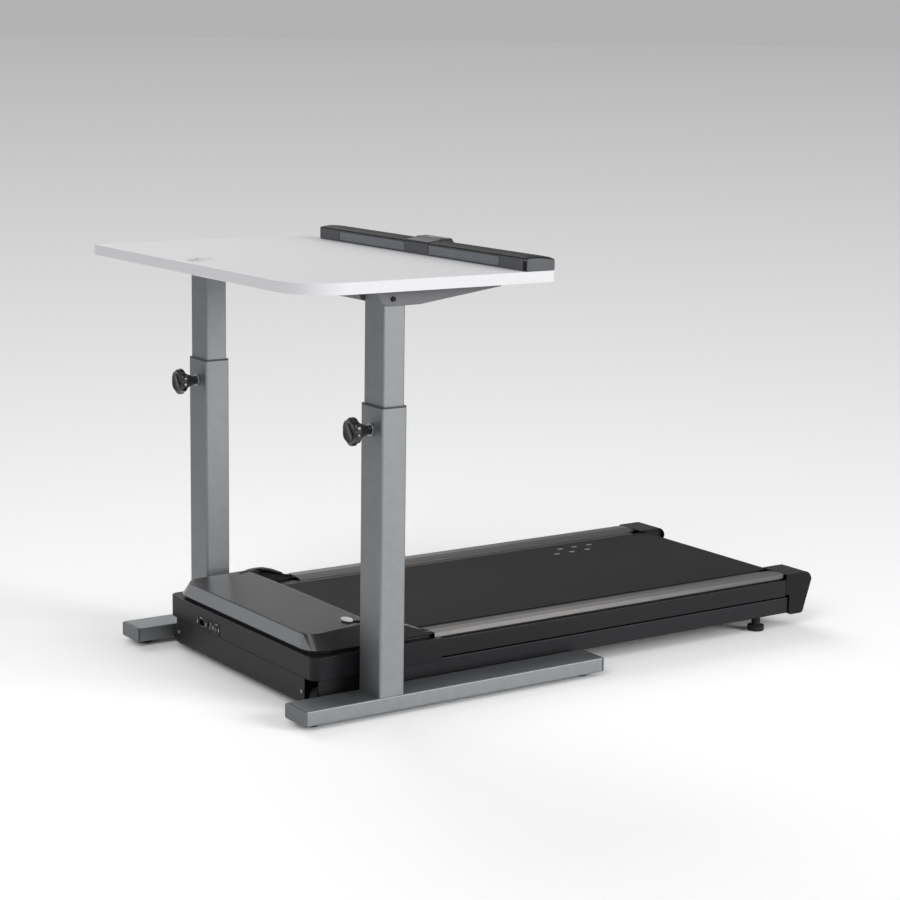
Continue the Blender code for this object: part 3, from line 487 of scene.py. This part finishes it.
# ---------------------------------------------------------------- bench tools

def let_go():
    """Nothing selected, in object mode."""
    if bpy.context.mode != "OBJECT":
        bpy.ops.object.mode_set(mode="OBJECT")
    bpy.ops.object.select_all(action="DESELECT")


def take(piece):
    """Only this piece selected, and active."""
    let_go()
    piece.select_set(True)
    bpy.context.view_layer.objects.active = piece


def pick(piece, kind, test):
    """Into edit mode with only the edges or faces that pass the test selected."""
    take(piece)
    mesh = piece.data
    bpy.ops.object.mode_set(mode="EDIT")
    bpy.ops.mesh.select_mode(type=kind)
    bpy.ops.mesh.select_all(action="DESELECT")
    bpy.ops.object.mode_set(mode="OBJECT")
    if kind == "FACE":
        for face in mesh.polygons:
            face.select = test(face.center, face.normal)
    else:
        for edge in mesh.edges:
            edge.select = test(*(mesh.vertices[k].co for k in edge.vertices))
    bpy.ops.object.mode_set(mode="EDIT")


def shade(piece, angle):
    """Smooth shading across the edges that are flatter than angle."""
    take(piece)
    bpy.ops.object.shade_smooth_by_angle(angle=radians(angle))


def face_outwards(piece):
    """Turn all the faces of a closed piece outwards."""
    pick(piece, "FACE", lambda centre, normal: True)
    bpy.ops.mesh.normals_make_consistent(inside=False)
    bpy.ops.object.mode_set(mode="OBJECT")


def settle(piece, name):
    """Keep the piece's place in its mesh, with its object at the origin."""
    take(piece)
    piece.name = piece.data.name = name
    bpy.ops.object.transform_apply(location=True, rotation=True, scale=True)
    return piece


def block(name, low, high):
    """A square blank from its low corner to its high corner."""
    let_go()
    bpy.ops.mesh.primitive_cube_add(size=1, location=[(a + b) / 2 for a, b in zip(low, high)])
    piece = bpy.context.active_object
    piece.scale = [b - a for a, b in zip(low, high)]
    return settle(piece, name)


def disc(name, centre, radius, depth, axis="Z", sides=48, squeeze=1.0):
    """A round blank whose middle is at centre."""
    turn = {"X": (0, pi / 2, 0), "Y": (pi / 2, 0, 0), "Z": (0, 0, 0)}[axis]
    let_go()
    bpy.ops.mesh.primitive_cylinder_add(vertices=sides, radius=radius, depth=depth,
                                        location=centre, rotation=turn)
    piece = bpy.context.active_object
    piece.scale = (squeeze, 1, 1)
    return settle(piece, name)


def ease(piece, width, segments=2, angle=35, flat=40, test=None):
    """Round the edges that are sharper than angle, or those that pass the test."""
    if test:
        pick(piece, "EDGE", test)
    else:
        take(piece)
        bpy.ops.object.mode_set(mode="EDIT")
        bpy.ops.mesh.select_mode(type="EDGE")
        bpy.ops.mesh.select_all(action="DESELECT")
        bpy.ops.mesh.edges_select_sharp(sharpness=radians(angle))
    bpy.ops.mesh.bevel(offset=width, segments=segments, affect="EDGES", clamp_overlap=True)
    shade(piece, flat)


def change(piece, kind, **settings):
    """Add a modifier and apply it."""
    take(piece)
    modifier = piece.modifiers.new(kind.lower(), kind)
    for key, value in settings.items():
        setattr(modifier, key, value)
    bpy.ops.object.modifier_apply(modifier=modifier.name)


def carve(piece, tool):
    """Take the tool's shape out of the piece."""
    change(piece, "BOOLEAN", operation="DIFFERENCE", object=tool, solver="EXACT")
    bpy.data.objects.remove(tool)


def weld(name, pieces):
    """One object from several."""
    take(pieces[0])
    for piece in pieces[1:]:
        piece.select_set(True)
    bpy.ops.object.join()
    return settle(pieces[0], name)


def twin(piece, name, move=(0, 0, 0), mirror=False):
    """A copy with its own mesh, moved, or mirrored to the other side."""
    made = bpy.data.objects.new(name, piece.data.copy())
    bpy.context.scene.collection.objects.link(made)
    made.location = move
    if mirror:
        made.scale = (-1, 1, 1)
    settle(made, name)
    if mirror:
        face_outwards(made)
    return made


def fit(piece, body, finish, slot, *replaced):
    """Paint a finished piece, hang it on the body it moves with, and hide the CAD parts it stands
    for.
    """
    change(piece, "WEIGHTED_NORMAL", weight=50, keep_sharp=True)
    coat(piece, finish)
    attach(piece, body)
    if replaced:
        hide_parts(*replaced)


def eased(node, width):
    """A CAD part's own shape with its sharp edges rounded, standing for that part.
    With no width its edges stay sharp, and only its round corners are shaded smooth."""
    piece = bpy.data.objects.new(node + "_eased", nodes[node].data.copy())
    bpy.context.scene.collection.objects.link(piece)
    take(piece)
    bpy.ops.object.mode_set(mode="EDIT")
    bpy.ops.mesh.select_all(action="SELECT")
    bpy.ops.mesh.remove_doubles(threshold=0.00001)
    bpy.ops.mesh.dissolve_limited(angle_limit=radians(0.6))
    bpy.ops.object.mode_set(mode="OBJECT")
    if width:
        ease(piece, width)
    else:
        shade(piece, 12)
    fit(piece, body_of[node], finish_of(node), slots[node], node)


# ---------------------------------------------------------------- treadmill covers

def smooth(share):
    """0 to 1 without a kink at either end."""
    share = min(1.0, max(0.0, share))
    return share * share * (3 - 2 * share)


def hood_grid():
    """Rows of points: the foot of the front wall, then the top from front to rear,
    each row with the foot of the side wall at its two ends."""
    low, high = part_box("motor_hood")
    base, half, front, tip = low.z, high.x, low.y, high.y
    brow, rear = front + 0.008, -0.515      # where the top starts and ends, in y
    corner, flat, turn = 0.055, 0.80, 0.16  # corner radius, and its shares of front and side

    def crest(y):
        rise = 0.176 + 0.006 * min(1, max(0, (y - front) / 0.16))
        return rise + (base + 0.0045 - rise) * smooth((y - rear - 0.005) / (tip - rear - 0.005))

    def across_front(share, width, start, bend):
        if abs(share) <= flat:
            return (width - bend) * share / flat, start
        angle = radians(45) * (abs(share) - flat) / (1 - flat)
        x = width - bend + bend * sin(angle)
        return (x if share > 0 else -x), start + bend - bend * cos(angle)

    def along_side(share, width, start, bend, width_at):
        if share < turn:
            angle = radians(45) * (1 + share / turn)
            return width - bend + bend * sin(angle), start + bend - bend * cos(angle)
        y = start + bend + (tip - start - bend) * (share - turn) / (1 - turn)
        return width_at(y), y

    def shoulder(y):
        return half - (crest(y) - base)

    top_half, top_bend = shoulder(front), corner - 0.014
    shares = [-1 + 2 * k / HOOD_COLUMNS for k in range(HOOD_COLUMNS + 1)]
    foot = [(*across_front(share, half, front, corner), base) for share in shares]
    grid = [[foot[0]] + foot + [foot[-1]]]
    corner_x = across_front(1, top_half, brow, top_bend)[0]
    start_y = along_side(0, top_half, brow, top_bend, shoulder)[1]
    for row in range(HOOD_ROWS + 1):
        down = row / HOOD_ROWS
        side_x, side_y = along_side(down, top_half, brow, top_bend, shoulder)
        part = (side_y - start_y) / (tip - start_y)
        foot_x, foot_y = along_side(down, half, front, corner, lambda y: half)
        middle = 0.178 + 0.010 * part - 0.036 * max(0, (part - 0.86) / 0.14) ** 2
        points = [(-foot_x, foot_y, base)]
        for share in shares:
            x, y = across_front(share, top_half, brow, top_bend)
            wing = smooth((abs(share) - 0.78) / 0.17)
            y += part * (rear + (tip - rear) * wing - y)
            height = middle + (crest(y) - middle) * max(wing, share * share)
            points.append((x / corner_x * side_x, y, height))
        grid.append(points + [(foot_x, foot_y, base)])
    return grid


def motor_hood():
    """Crowned hood with S-shaped flanks, over walls that lean outwards."""
    points = hood_grid()
    down, over = len(points) - 1, len(points[0]) - 1
    let_go()
    bpy.ops.mesh.primitive_grid_add(x_subdivisions=over, y_subdivisions=down, size=2)
    hood = settle(bpy.context.active_object, "motor_hood_skin")
    for vertex in hood.data.vertices:
        column, row = (vertex.co.x + 1) / 2 * over, (vertex.co.y + 1) / 2 * down
        vertex.co = points[round(row)][round(column)]
    take(hood)
    bpy.ops.object.mode_set(mode="EDIT")
    bpy.ops.mesh.select_all(action="SELECT")
    bpy.ops.mesh.remove_doubles(threshold=0.00005)
    bpy.ops.mesh.normals_make_consistent(inside=False)
    bpy.ops.object.mode_set(mode="OBJECT")
    if sum(face.normal.z * face.area for face in hood.data.polygons) < 0:
        pick(hood, "FACE", lambda centre, normal: True)
        bpy.ops.mesh.flip_normals()
        bpy.ops.object.mode_set(mode="OBJECT")
    ease(hood, 0.0035, 4, 30, 60)
    change(hood, "SOLIDIFY", thickness=0.0028, offset=-1)
    shade(hood, 50)
    fit(hood, "base", hood_skin, "charcoal_plastic", "motor_hood")


def hood_valance():
    """Wall under the hood's rear edge and the inner sides of its wings, down to its foot."""
    edge = hood_grid()[-1][1:-1]
    last, wall_thick = len(edge) - 1, 0.0016
    let_go()
    bpy.ops.mesh.primitive_grid_add(x_subdivisions=last, y_subdivisions=2, size=2)
    wall = settle(bpy.context.active_object, "hood_valance")
    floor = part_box("motor_hood")[0].z + 0.0002
    for vertex in wall.data.vertices:
        x, y, z = edge[round((vertex.co.x + 1) / 2 * last)]
        level = (vertex.co.y + 1) / 2
        top = max(z - 0.0022, floor + 0.0005)
        inward = wall_thick + wall_thick * (1 - level)
        vertex.co = (x * 0.997, y - inward, floor + (top - floor) * level)
    change(wall, "SOLIDIFY", thickness=wall_thick, offset=0)
    shade(wall, 40)
    fit(wall, "base", charcoal, "charcoal_plastic")


def hood_badge():
    """A blank silver oval on the hood."""
    badge = disc("hood_badge", BADGE, 0.0125, 0.0024, "Z", 64, 1.5)
    pick(badge, "FACE", lambda centre, normal: normal.z > 0.9)
    bpy.ops.mesh.inset(thickness=0.0018)
    bpy.ops.transform.translate(value=(0, 0, -0.0006))
    bpy.ops.object.mode_set(mode="OBJECT")
    ease(badge, 0.0004, 2, 30)
    take(badge)
    bpy.ops.transform.rotate(value=radians(-3.0), orient_axis="Y", center_override=BADGE)
    settle(badge, "hood_badge")
    fit(badge, "base", badge_silver, "bright_steel")


def power_bezel():
    """Gloss plate round the inlet, the switch and the breaker, with plain printed marks."""
    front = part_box("front_housing")[0].y
    inlet, switch, button = (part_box(node) for node in ("power_inlet", "power_switch",
                                                       "breaker_button"))
    middle, half, border = (inlet[0].z + inlet[1].z) / 2, 0.0155, 0.010
    plate = block("power_bezel", (inlet[0].x - border, front - 0.0010, middle - half),
                  (button[1].x + border, front - 0.0001, middle + half))
    ease(plate, 0.0030, 4, 30, test=lambda a, b: abs(a.y - b.y) > 0.0005)
    for (near, far), spare in ((inlet, 0.0006), (switch, 0.0012), (button, 0.0009)):
        carve(plate, block("window", (near.x - spare, front - 0.01, near.z - spare),
                           (far.x + spare, front + 0.01, far.z + spare)))
    ease(plate, 0.0002, 2, 50)
    fit(plate, "base", bezel_black, "gloss_black")

    marks, raised, sunk = [], front - 0.0013, front - 0.0009
    for x in (inlet[0].x - 0.005, (inlet[1].x + switch[0].x) / 2,
              (switch[1].x + button[0].x) / 2, button[1].x + 0.005):
        marks.append(block("bar", (x - 0.0008, raised, middle - 0.0045),
                           (x + 0.0008, sunk, middle + 0.0045)))
    for near, far in (inlet, button):
        x = (near.x + far.x) / 2
        marks.append(block("bar", (x - 0.004, raised, middle + 0.0122),
                           (x + 0.004, sunk, middle + 0.0133)))
    for mark in marks:
        ease(mark, 0.0001, 1, 30)
    fit(weld("bezel_marks", marks), "base", print_white, "key_grey")


def pan_screw():
    """Pan-head screw with a cross recess, its head standing forwards out of the origin."""
    head = disc("panel_screw", (0, 0, 0.0008), 0.0042, 0.0024, "Z", 28)
    ease(head, 0.0009, 3, 30, test=lambda a, b: min(a.z, b.z) > 0.0015)
    for x, y in ((0.00045, 0.0024), (0.0024, 0.00045)):
        carve(head, block("cross", (-x, -y, 0.0008), (x, y, 0.01)))
    head.rotation_euler = (pi / 2, 0, 0)
    return settle(head, "panel_screw")


def panel_screws():
    """Screws at the two ends of the lower front panel."""
    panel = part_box("front_panel")
    screw = pan_screw()
    for hand, side in SIDES:
        place = (side * (panel[1].x - SCREW_INSET), panel[0].y, SCREW_HEIGHT)
        fit(twin(screw, f"panel_screw_{hand}", place), "base", steel, "bright_steel")
    bpy.data.objects.remove(screw)


def cap_walls():
    """Inner wall of each rear cap, beside the end of the tail roller."""
    low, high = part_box("rear_cap_right")
    front, top = low.y + 0.0005, high.z - 0.0036
    outline = [(front, low.z + 0.0035), (front, top), (high.y - 0.0265, top)]
    for (y, z), radius, turns in ((NOSE, NOSE_RADIUS, range(80, 0, -15)),
                                  (HEEL, HEEL_RADIUS, range(-20, -95, -23))):
        outline += [(y + radius * cos(radians(turn)), z + radius * sin(radians(turn)))
                    for turn in turns]
    let_go()
    bpy.ops.mesh.primitive_circle_add(vertices=len(outline), radius=1, fill_type="NGON")
    wall = settle(bpy.context.active_object, "cap_wall_right")
    for vertex, (y, z) in zip(wall.data.vertices, outline):
        vertex.co = (CAP_WALL, y, z)
    change(wall, "SOLIDIFY", thickness=0.0018, offset=0)
    face_outwards(wall)
    ease(wall, 0.0003, 1, 60)
    left = twin(wall, "cap_wall_left", mirror=True)
    for piece in (wall, left):
        fit(piece, "base", cap_skin, "charcoal_plastic")


def wheel_hubs():
    """Domed caps over the ends of the transport wheels' pins."""
    for hand, side in SIDES:
        low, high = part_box("transport_wheel_" + hand)
        outer = high.x if side > 0 else low.x
        centre = (outer - side * 0.0001, (low.y + high.y) / 2, (low.z + high.z) / 2)
        hub = disc("wheel_hub_" + hand, centre, 0.0105, 0.0022, "X", 40)
        ease(hub, 0.0008, 3, 30)
        fit(hub, "wheel_" + hand, steel, "bright_steel")


# ---------------------------------------------------------------- desk pieces

def turned(name, profile, centre):
    """A closed shape spun round the Y axis through centre, from points of (distance along
    the axis, radius) that start and end on the axis."""
    let_go()
    bpy.ops.mesh.primitive_circle_add(vertices=len(profile), radius=1)
    piece = settle(bpy.context.active_object, name)
    for vertex, (along, radius) in zip(piece.data.vertices, profile):
        vertex.co = (centre[0] + radius, centre[1] + along, centre[2])
    pick(piece, "EDGE", lambda a, b: max(abs(a.x - centre[0]), abs(b.x - centre[0])) < 1e-6)
    bpy.ops.mesh.delete(type="EDGE")
    bpy.ops.mesh.select_all(action="SELECT")
    bpy.ops.mesh.spin(steps=72, angle=2 * pi, center=centre, axis=(0, 1, 0))
    bpy.ops.mesh.select_all(action="SELECT")
    bpy.ops.mesh.remove_doubles(threshold=0.00001)
    bpy.ops.mesh.normals_make_consistent(inside=False)
    bpy.ops.object.mode_set(mode="OBJECT")
    return piece


def scallop(knob, x, z):
    """Press six shallow hollows into the rim of a grip whose axis is at x, z."""
    start, run, depth = 0.024, 0.005, 0.09
    for vertex in knob.data.vertices:
        across, up = vertex.co.x - x, vertex.co.z - z
        radius = (across ** 2 + up ** 2) ** 0.5
        if radius > start:
            lean = Vector((across, up)).normalized().x ** 2
            wave = lean * (4 * lean - 3) ** 2
            scale = 1 - depth * wave ** 2 * smooth((radius - start) / run)
            vertex.co.x, vertex.co.z = x + across * scale, z + up * scale


def clamp_knobs():
    """Scalloped knobs on conical hubs, with a raised bar across the dished face and a washer."""
    for hand in HANDS:
        low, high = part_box("clamp_knob_" + hand)
        x, z = (low.x + high.x) / 2, (low.z + high.z) / 2
        face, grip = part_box("column_" + hand)[0].y + 0.0030, (high.x - low.x) / 2
        stud, depth = high.y - face, low.y - face
        profile = [(stud, 0), (stud, 0.0052), (-0.0034, 0.0052), (-0.0034, 0.0095),
                   (-0.0045, 0.0105), (-0.012, 0.0108), (-0.017, 0.0125), (-0.027, 0.0165),
                   (-0.036, 0.0205), (-0.0405, 0.0225), (-0.0415, grip - 0.0055),
                   (-0.0430, grip - 0.0020), (-0.0460, grip), (-0.0545, grip),
                   (-0.0575, grip - 0.0015), (-0.0595, grip - 0.0050), (depth, grip - 0.0085),
                   (depth + 0.0010, grip - 0.0105), (depth + 0.0034, grip - 0.0125),
                   (depth + 0.0036, 0)]
        knob = turned("clamp_knob_grip_" + hand, profile, (x, face, z))
        scallop(knob, x, z)
        shade(knob, 50)
        fit(knob, "knob_" + hand, piano, "gloss_black", "clamp_knob_" + hand)

        bar = block("knob_bar_" + hand, (x - 0.0050, low.y + 0.0002, z - 0.0195),
                    (x + 0.0050, low.y + 0.0050, z + 0.0195))
        ease(bar, 0.0036, 4, 30, 60, lambda a, b: abs(a.y - b.y) > 0.001)
        ease(bar, 0.0014, 3, 30, 60, lambda a, b: max(a.y, b.y) < low.y + 0.001)
        take(bar)
        bpy.ops.transform.rotate(value=radians(35), orient_axis="Y", center_override=(x, low.y, z))
        settle(bar, "knob_bar_" + hand)
        fit(bar, "knob_" + hand, knob_shine, "gloss_black")

        seat = (x, face - 0.0042, z)
        washer = disc("washer", seat, 0.0150, 0.0024, "Y", 48)
        ease(washer, 0.0008, 3, 30)
        carve(washer, disc("hole", seat, 0.0115, 0.02, "Y", 48))
        fit(settle(washer, "knob_washer_" + hand), "base", steel, "bright_steel")


def foot_caps():
    """Rounded plastic covers on the ends of the desk's foot tubes."""
    for hand in HANDS:
        low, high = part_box("desk_foot_" + hand)
        for end, edge, way in (("front", low.y, -1), ("rear", high.y, 1)):
            near, far = sorted((edge - way * 0.0008, edge + way * 0.0026))
            cap = block(f"foot_cap_{end}_{hand}", (low.x + 0.0002, near, low.z + 0.0002),
                        (high.x - 0.0002, far, high.z - 0.0002))
            ease(cap, 0.0045, 5, 30, 60, lambda a, b: abs(a.y - b.y) > 0.001)
            rim = way * edge + 0.002
            ease(cap, 0.0013, 3, 30, 60, lambda a, b: min(way * a.y, way * b.y) > rim)
            fit(cap, "base", plug_grey, "silver_paint")


def arm_bolts():
    """Socket-head bolts and washers in the arms' side holes."""
    for hand in HANDS:
        low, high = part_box("support_arm_" + hand)
        for k, (edge, way) in enumerate(((high.x, 1), (low.x, -1))):
            washer = disc("washer", (edge + way * 0.0008, *ARM_BOLT), 0.0062, 0.0016, "X", 40)
            ease(washer, 0.0004, 2, 30)
            head = disc("head", (edge + way * 0.0030, *ARM_BOLT), 0.0050, 0.0036, "X", 36)
            ease(head, 0.0007, 3, 30)
            carve(head, disc("socket", (edge + way * 0.0050, *ARM_BOLT), 0.0025, 0.0036, "X", 6))
            stem = disc("stem", (edge - way * 0.0020, *ARM_BOLT), 0.0040, 0.0080, "X", 24)
            bolt = weld(f"arm_bolt_{hand}_{k}", [head, washer, stem])
            fit(bolt, "desk", bolt_black, "bright_steel")


def crown(y, low, high):
    """Height of the dome at y, on a tray from low to high: it falls to its front and rear,
    and more to the rear."""
    share = (y - (low.y + high.y) / 2) / DOME_HALF
    return DOME_TOP - DOME_TILT * share - DOME_FALL * share * share


def arm_pads():
    """Soft skins on the console: crowned over its dome, pulled in and rounded at their edges."""
    tray, end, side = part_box("console_tray"), 0.004, 0.006      # how far the rounding reaches
    for hand in HANDS:
        low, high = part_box("arm_pad_" + hand)
        pad = block("arm_pad_skin_" + hand, (low.x, low.y, 0), (high.x, high.y, 1))
        take(pad)
        bpy.ops.object.mode_set(mode="EDIT")
        bpy.ops.mesh.select_all(action="SELECT")
        bpy.ops.mesh.subdivide(number_cuts=30)
        bpy.ops.object.mode_set(mode="OBJECT")
        middle_x, half_x = (low.x + high.x) / 2, (high.x - low.x) / 2
        middle_y, half_y = (low.y + high.y) / 2, (high.y - low.y) / 2
        for vertex in pad.data.vertices:
            x, y, level = vertex.co
            s, t = (x - middle_x) / half_x, (y - middle_y) / half_y
            round_x = max(0.0, (abs(s) * half_x - half_x + end) / end)
            round_y = max(0.0, (abs(t) * half_y - half_y + side) / side)
            edge = min(1.0, (round_x ** 2 + round_y ** 2) ** 0.5)
            thick = 0.0022 + 0.0028 * max(0.0, 1 - edge ** 2) ** 0.5
            swell = 0.0005 * (1 - abs(t) ** 3) * (1 - abs(s) ** 12)
            tuck = 0.0006 * edge * (1 - abs(2 * level - 1))
            x -= tuck * (1 if s > 0 else -1) * round_x * (1 - abs(t) ** 8)
            y -= tuck * (1 if t > 0 else -1) * round_y
            vertex.co = (x, y, crown(y, *tray) + 0.0003 + level * (thick + swell - 0.0005))
        ease(pad, 0.0005, 2, 60, 60)
        fit(pad, "desk", skin, "pad_black", "arm_pad_" + hand)


def console_trim():
    """Grey-blue panels let into the tray's front, and the black strip near its right end."""
    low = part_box("console_tray")[0]
    for k, (start, stop) in enumerate(CONSOLE_PANELS):
        panel = block(f"console_panel_{k}", (start + 0.0006, low.y + 0.0003, low.z + 0.0036),
                      (stop - 0.0006, low.y + 0.0017, PANEL_TOP))
        ease(panel, 0.0005, 2, 30)
        fit(panel, "desk", inset_grey, "grey_plastic")
    strip = block("console_strip", (STRIP[0], low.y - 0.0006, low.z + 0.0012),
                  (STRIP[1], low.y + 0.0004, STRIP_TOP))
    ease(strip, 0.0005, 2, 30)
    fit(strip, "desk", cap_skin, "grey_plastic")


def display_glass():
    """Rounded lens over the display's window."""
    low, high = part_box("display_module")
    middle = (low.x + high.x) / 2
    glass = block("display_glass", (middle - GLASS_HALF, GLASS[0], high.z - 0.0007),
                  (middle + GLASS_HALF, GLASS[1], high.z + 0.0005))
    ease(glass, 0.0030, 4, 30, 60, lambda a, b: abs(a.z - b.z) > 0.0005)
    ease(glass, 0.0004, 3, 30, 60)
    fit(glass, "desk", lens, "gloss_black")


motor_hood()
hood_valance()
hood_badge()
power_bezel()
panel_screws()
cap_walls()
wheel_hubs()
clamp_knobs()
foot_caps()
arm_bolts()
arm_pads()
console_trim()
display_glass()
for part, width in (
        ("front_housing", 0.0022), ("front_panel", 0.0005),
        ("rear_cap_left", 0.0014), ("rear_cap_right", 0.0014),
        ("side_skirt_left", 0.0006), ("side_skirt_right", 0.0006),
        ("desk_foot_left", 0.0007), ("desk_foot_right", 0.0007),
        ("support_arm_left", 0.0007), ("support_arm_right", 0.0007),
        ("display_module", 0.0010),
        ("transport_wheel_left", 0.0006), ("transport_wheel_right", 0.0006),
        ("collar_left", 0.0006), ("collar_right", 0.0006),
        ("power_inlet", 0.0004), ("power_switch", 0.0005), ("breaker_button", 0.0004),
        ("safety_key", 0.0007), ("desktop", 0), ("console_tray", 0), ("grommet", 0.0003)):
    eased(part, width)


# ---------------------------------------------------------------- stage, light and camera

AIR = 0.45                  # brightness of the air and of the far floor
OVERHEAD = 0.34             # brightness of the air high up
AIR_SPAN = (0.02, 0.75)     # how far up the air changes, from level 0 to overhead 1
FLOOR_LIGHT = 0.84          # light that falls on the open floor, in the same units
FLOOR_RADIUS = 400.0
LIGHT_POOL, LIGHT_POOL_RADIUS = (1.0, -0.69), 1.2       # middle and radius of the pool of painted light, the brightest part of the floor
FADE, FADE_REACH = 3.2, 5.6                 # the floor's painted light is AIR + FADE / (distance + reach)
DEPTH = (-0.823, 0.568)                     # the way the floor runs away, level and of length 1
SUNS = (("key_sun", (5.8, 3.6, 2.1), 2.00, 30),         # name, place, strength, spread
        ("fill_sun", (2.6, -5.0, 4.2), 0.80, 34),
        ("far_sun", (-5.0, 0.6, 3.4), 0.85, 34))
EYE = (4.5914, -3.2756, 1.5602)
LENS, SENSOR = 88.68, 36.0                  # in millimetres


def studio_floor():
    """A pale floor with painted light that greys evenly with distance, and painted shade
    that greys it sooner off to the left of DEPTH.
    """
    let_go()
    bpy.ops.mesh.primitive_circle_add(vertices=128, radius=FLOOR_RADIUS, fill_type="NGON",
                                      location=(0, 0, -0.0005))
    floor = bpy.context.active_object
    floor.name = "studio_floor"
    paint = Paint("studio_floor", (0.85, 0.85, 0.85), 0.95, Specular_IOR_Level=0.0)
    # painted light: a pool of light on the floor that fades with distance
    away = ((paint.x - LIGHT_POOL[0]).power(2.0) + (paint.y - LIGHT_POOL[1]).power(2.0)).root()
    along = paint.x * DEPTH[0] + paint.y * DEPTH[1]
    aside = paint.x * -DEPTH[1] + paint.y * DEPTH[0]
    # painted shade: the floor greys sooner off to the left of DEPTH
    painted_shade_flank = (aside - along.most(0.0) * 0.2 - 1.4).most(0.0)
    distance = (away - LIGHT_POOL_RADIUS).most(0.0) + painted_shade_flank * 4.0
    glow = (AIR + FADE / (distance + FADE_REACH)) / FLOOR_LIGHT
    paint.set(Base_Color=paint.node("ShaderNodeCombineColor", None, (glow, glow, glow)))
    floor.data.materials.append(paint.material)


def studio_air():
    """Air as grey as the far floor, darker overhead."""
    air = bpy.data.worlds.new("studio_air")
    air.use_nodes = True
    tree = air.node_tree
    way = tree.nodes.new("ShaderNodeTexCoord")
    height = tree.nodes.new("ShaderNodeSeparateXYZ")
    glow = tree.nodes.new("ShaderNodeMapRange")
    for entry, value in zip(("From Min", "From Max", "To Min", "To Max"),
                            (*AIR_SPAN, AIR, OVERHEAD)):
        glow.inputs[entry].default_value = value
    tree.links.new(way.outputs["Generated"], height.inputs[0])
    tree.links.new(height.outputs["Z"], glow.inputs["Value"])
    tree.links.new(glow.outputs["Result"], tree.nodes["Background"].inputs["Color"])
    bpy.context.scene.world = air


def studio_lights():
    """Wide suns that shine from their places towards the origin."""
    for name, place, strength, spread in SUNS:
        data = bpy.data.lights.new(name, "SUN")
        data.energy, data.angle = strength, radians(spread)
        lamp = bpy.data.objects.new(name, data)
        lamp.location = place
        lamp.rotation_euler = (-Vector(place)).to_track_quat("-Z", "Y").to_euler()
        bpy.context.scene.collection.objects.link(lamp)


def camera():
    """Long lens from the right-hand front, a little above the desk."""
    turn, tilt, roll = radians(55.408), radians(10.682), radians(0.853)
    ahead = Vector((-sin(turn) * cos(tilt), cos(turn) * cos(tilt), -sin(tilt)))
    right = Vector((cos(turn), sin(turn), 0))
    up = right.cross(ahead)
    across = right * cos(roll) + up * sin(roll)
    above = up * cos(roll) - right * sin(roll)
    data = bpy.data.cameras.new("studio_camera")
    data.lens, data.sensor_width = LENS, SENSOR
    data.clip_end = FLOOR_RADIUS
    eye = bpy.data.objects.new("studio_camera", data)
    facing = Matrix((across, above, -ahead)).transposed().to_4x4()
    eye.matrix_world = Matrix.Translation(EYE) @ facing
    bpy.context.scene.collection.objects.link(eye)
    bpy.context.scene.camera = eye


studio_floor()
studio_air()
studio_lights()
camera()
bpy.context.scene.view_settings.view_transform = "Standard"
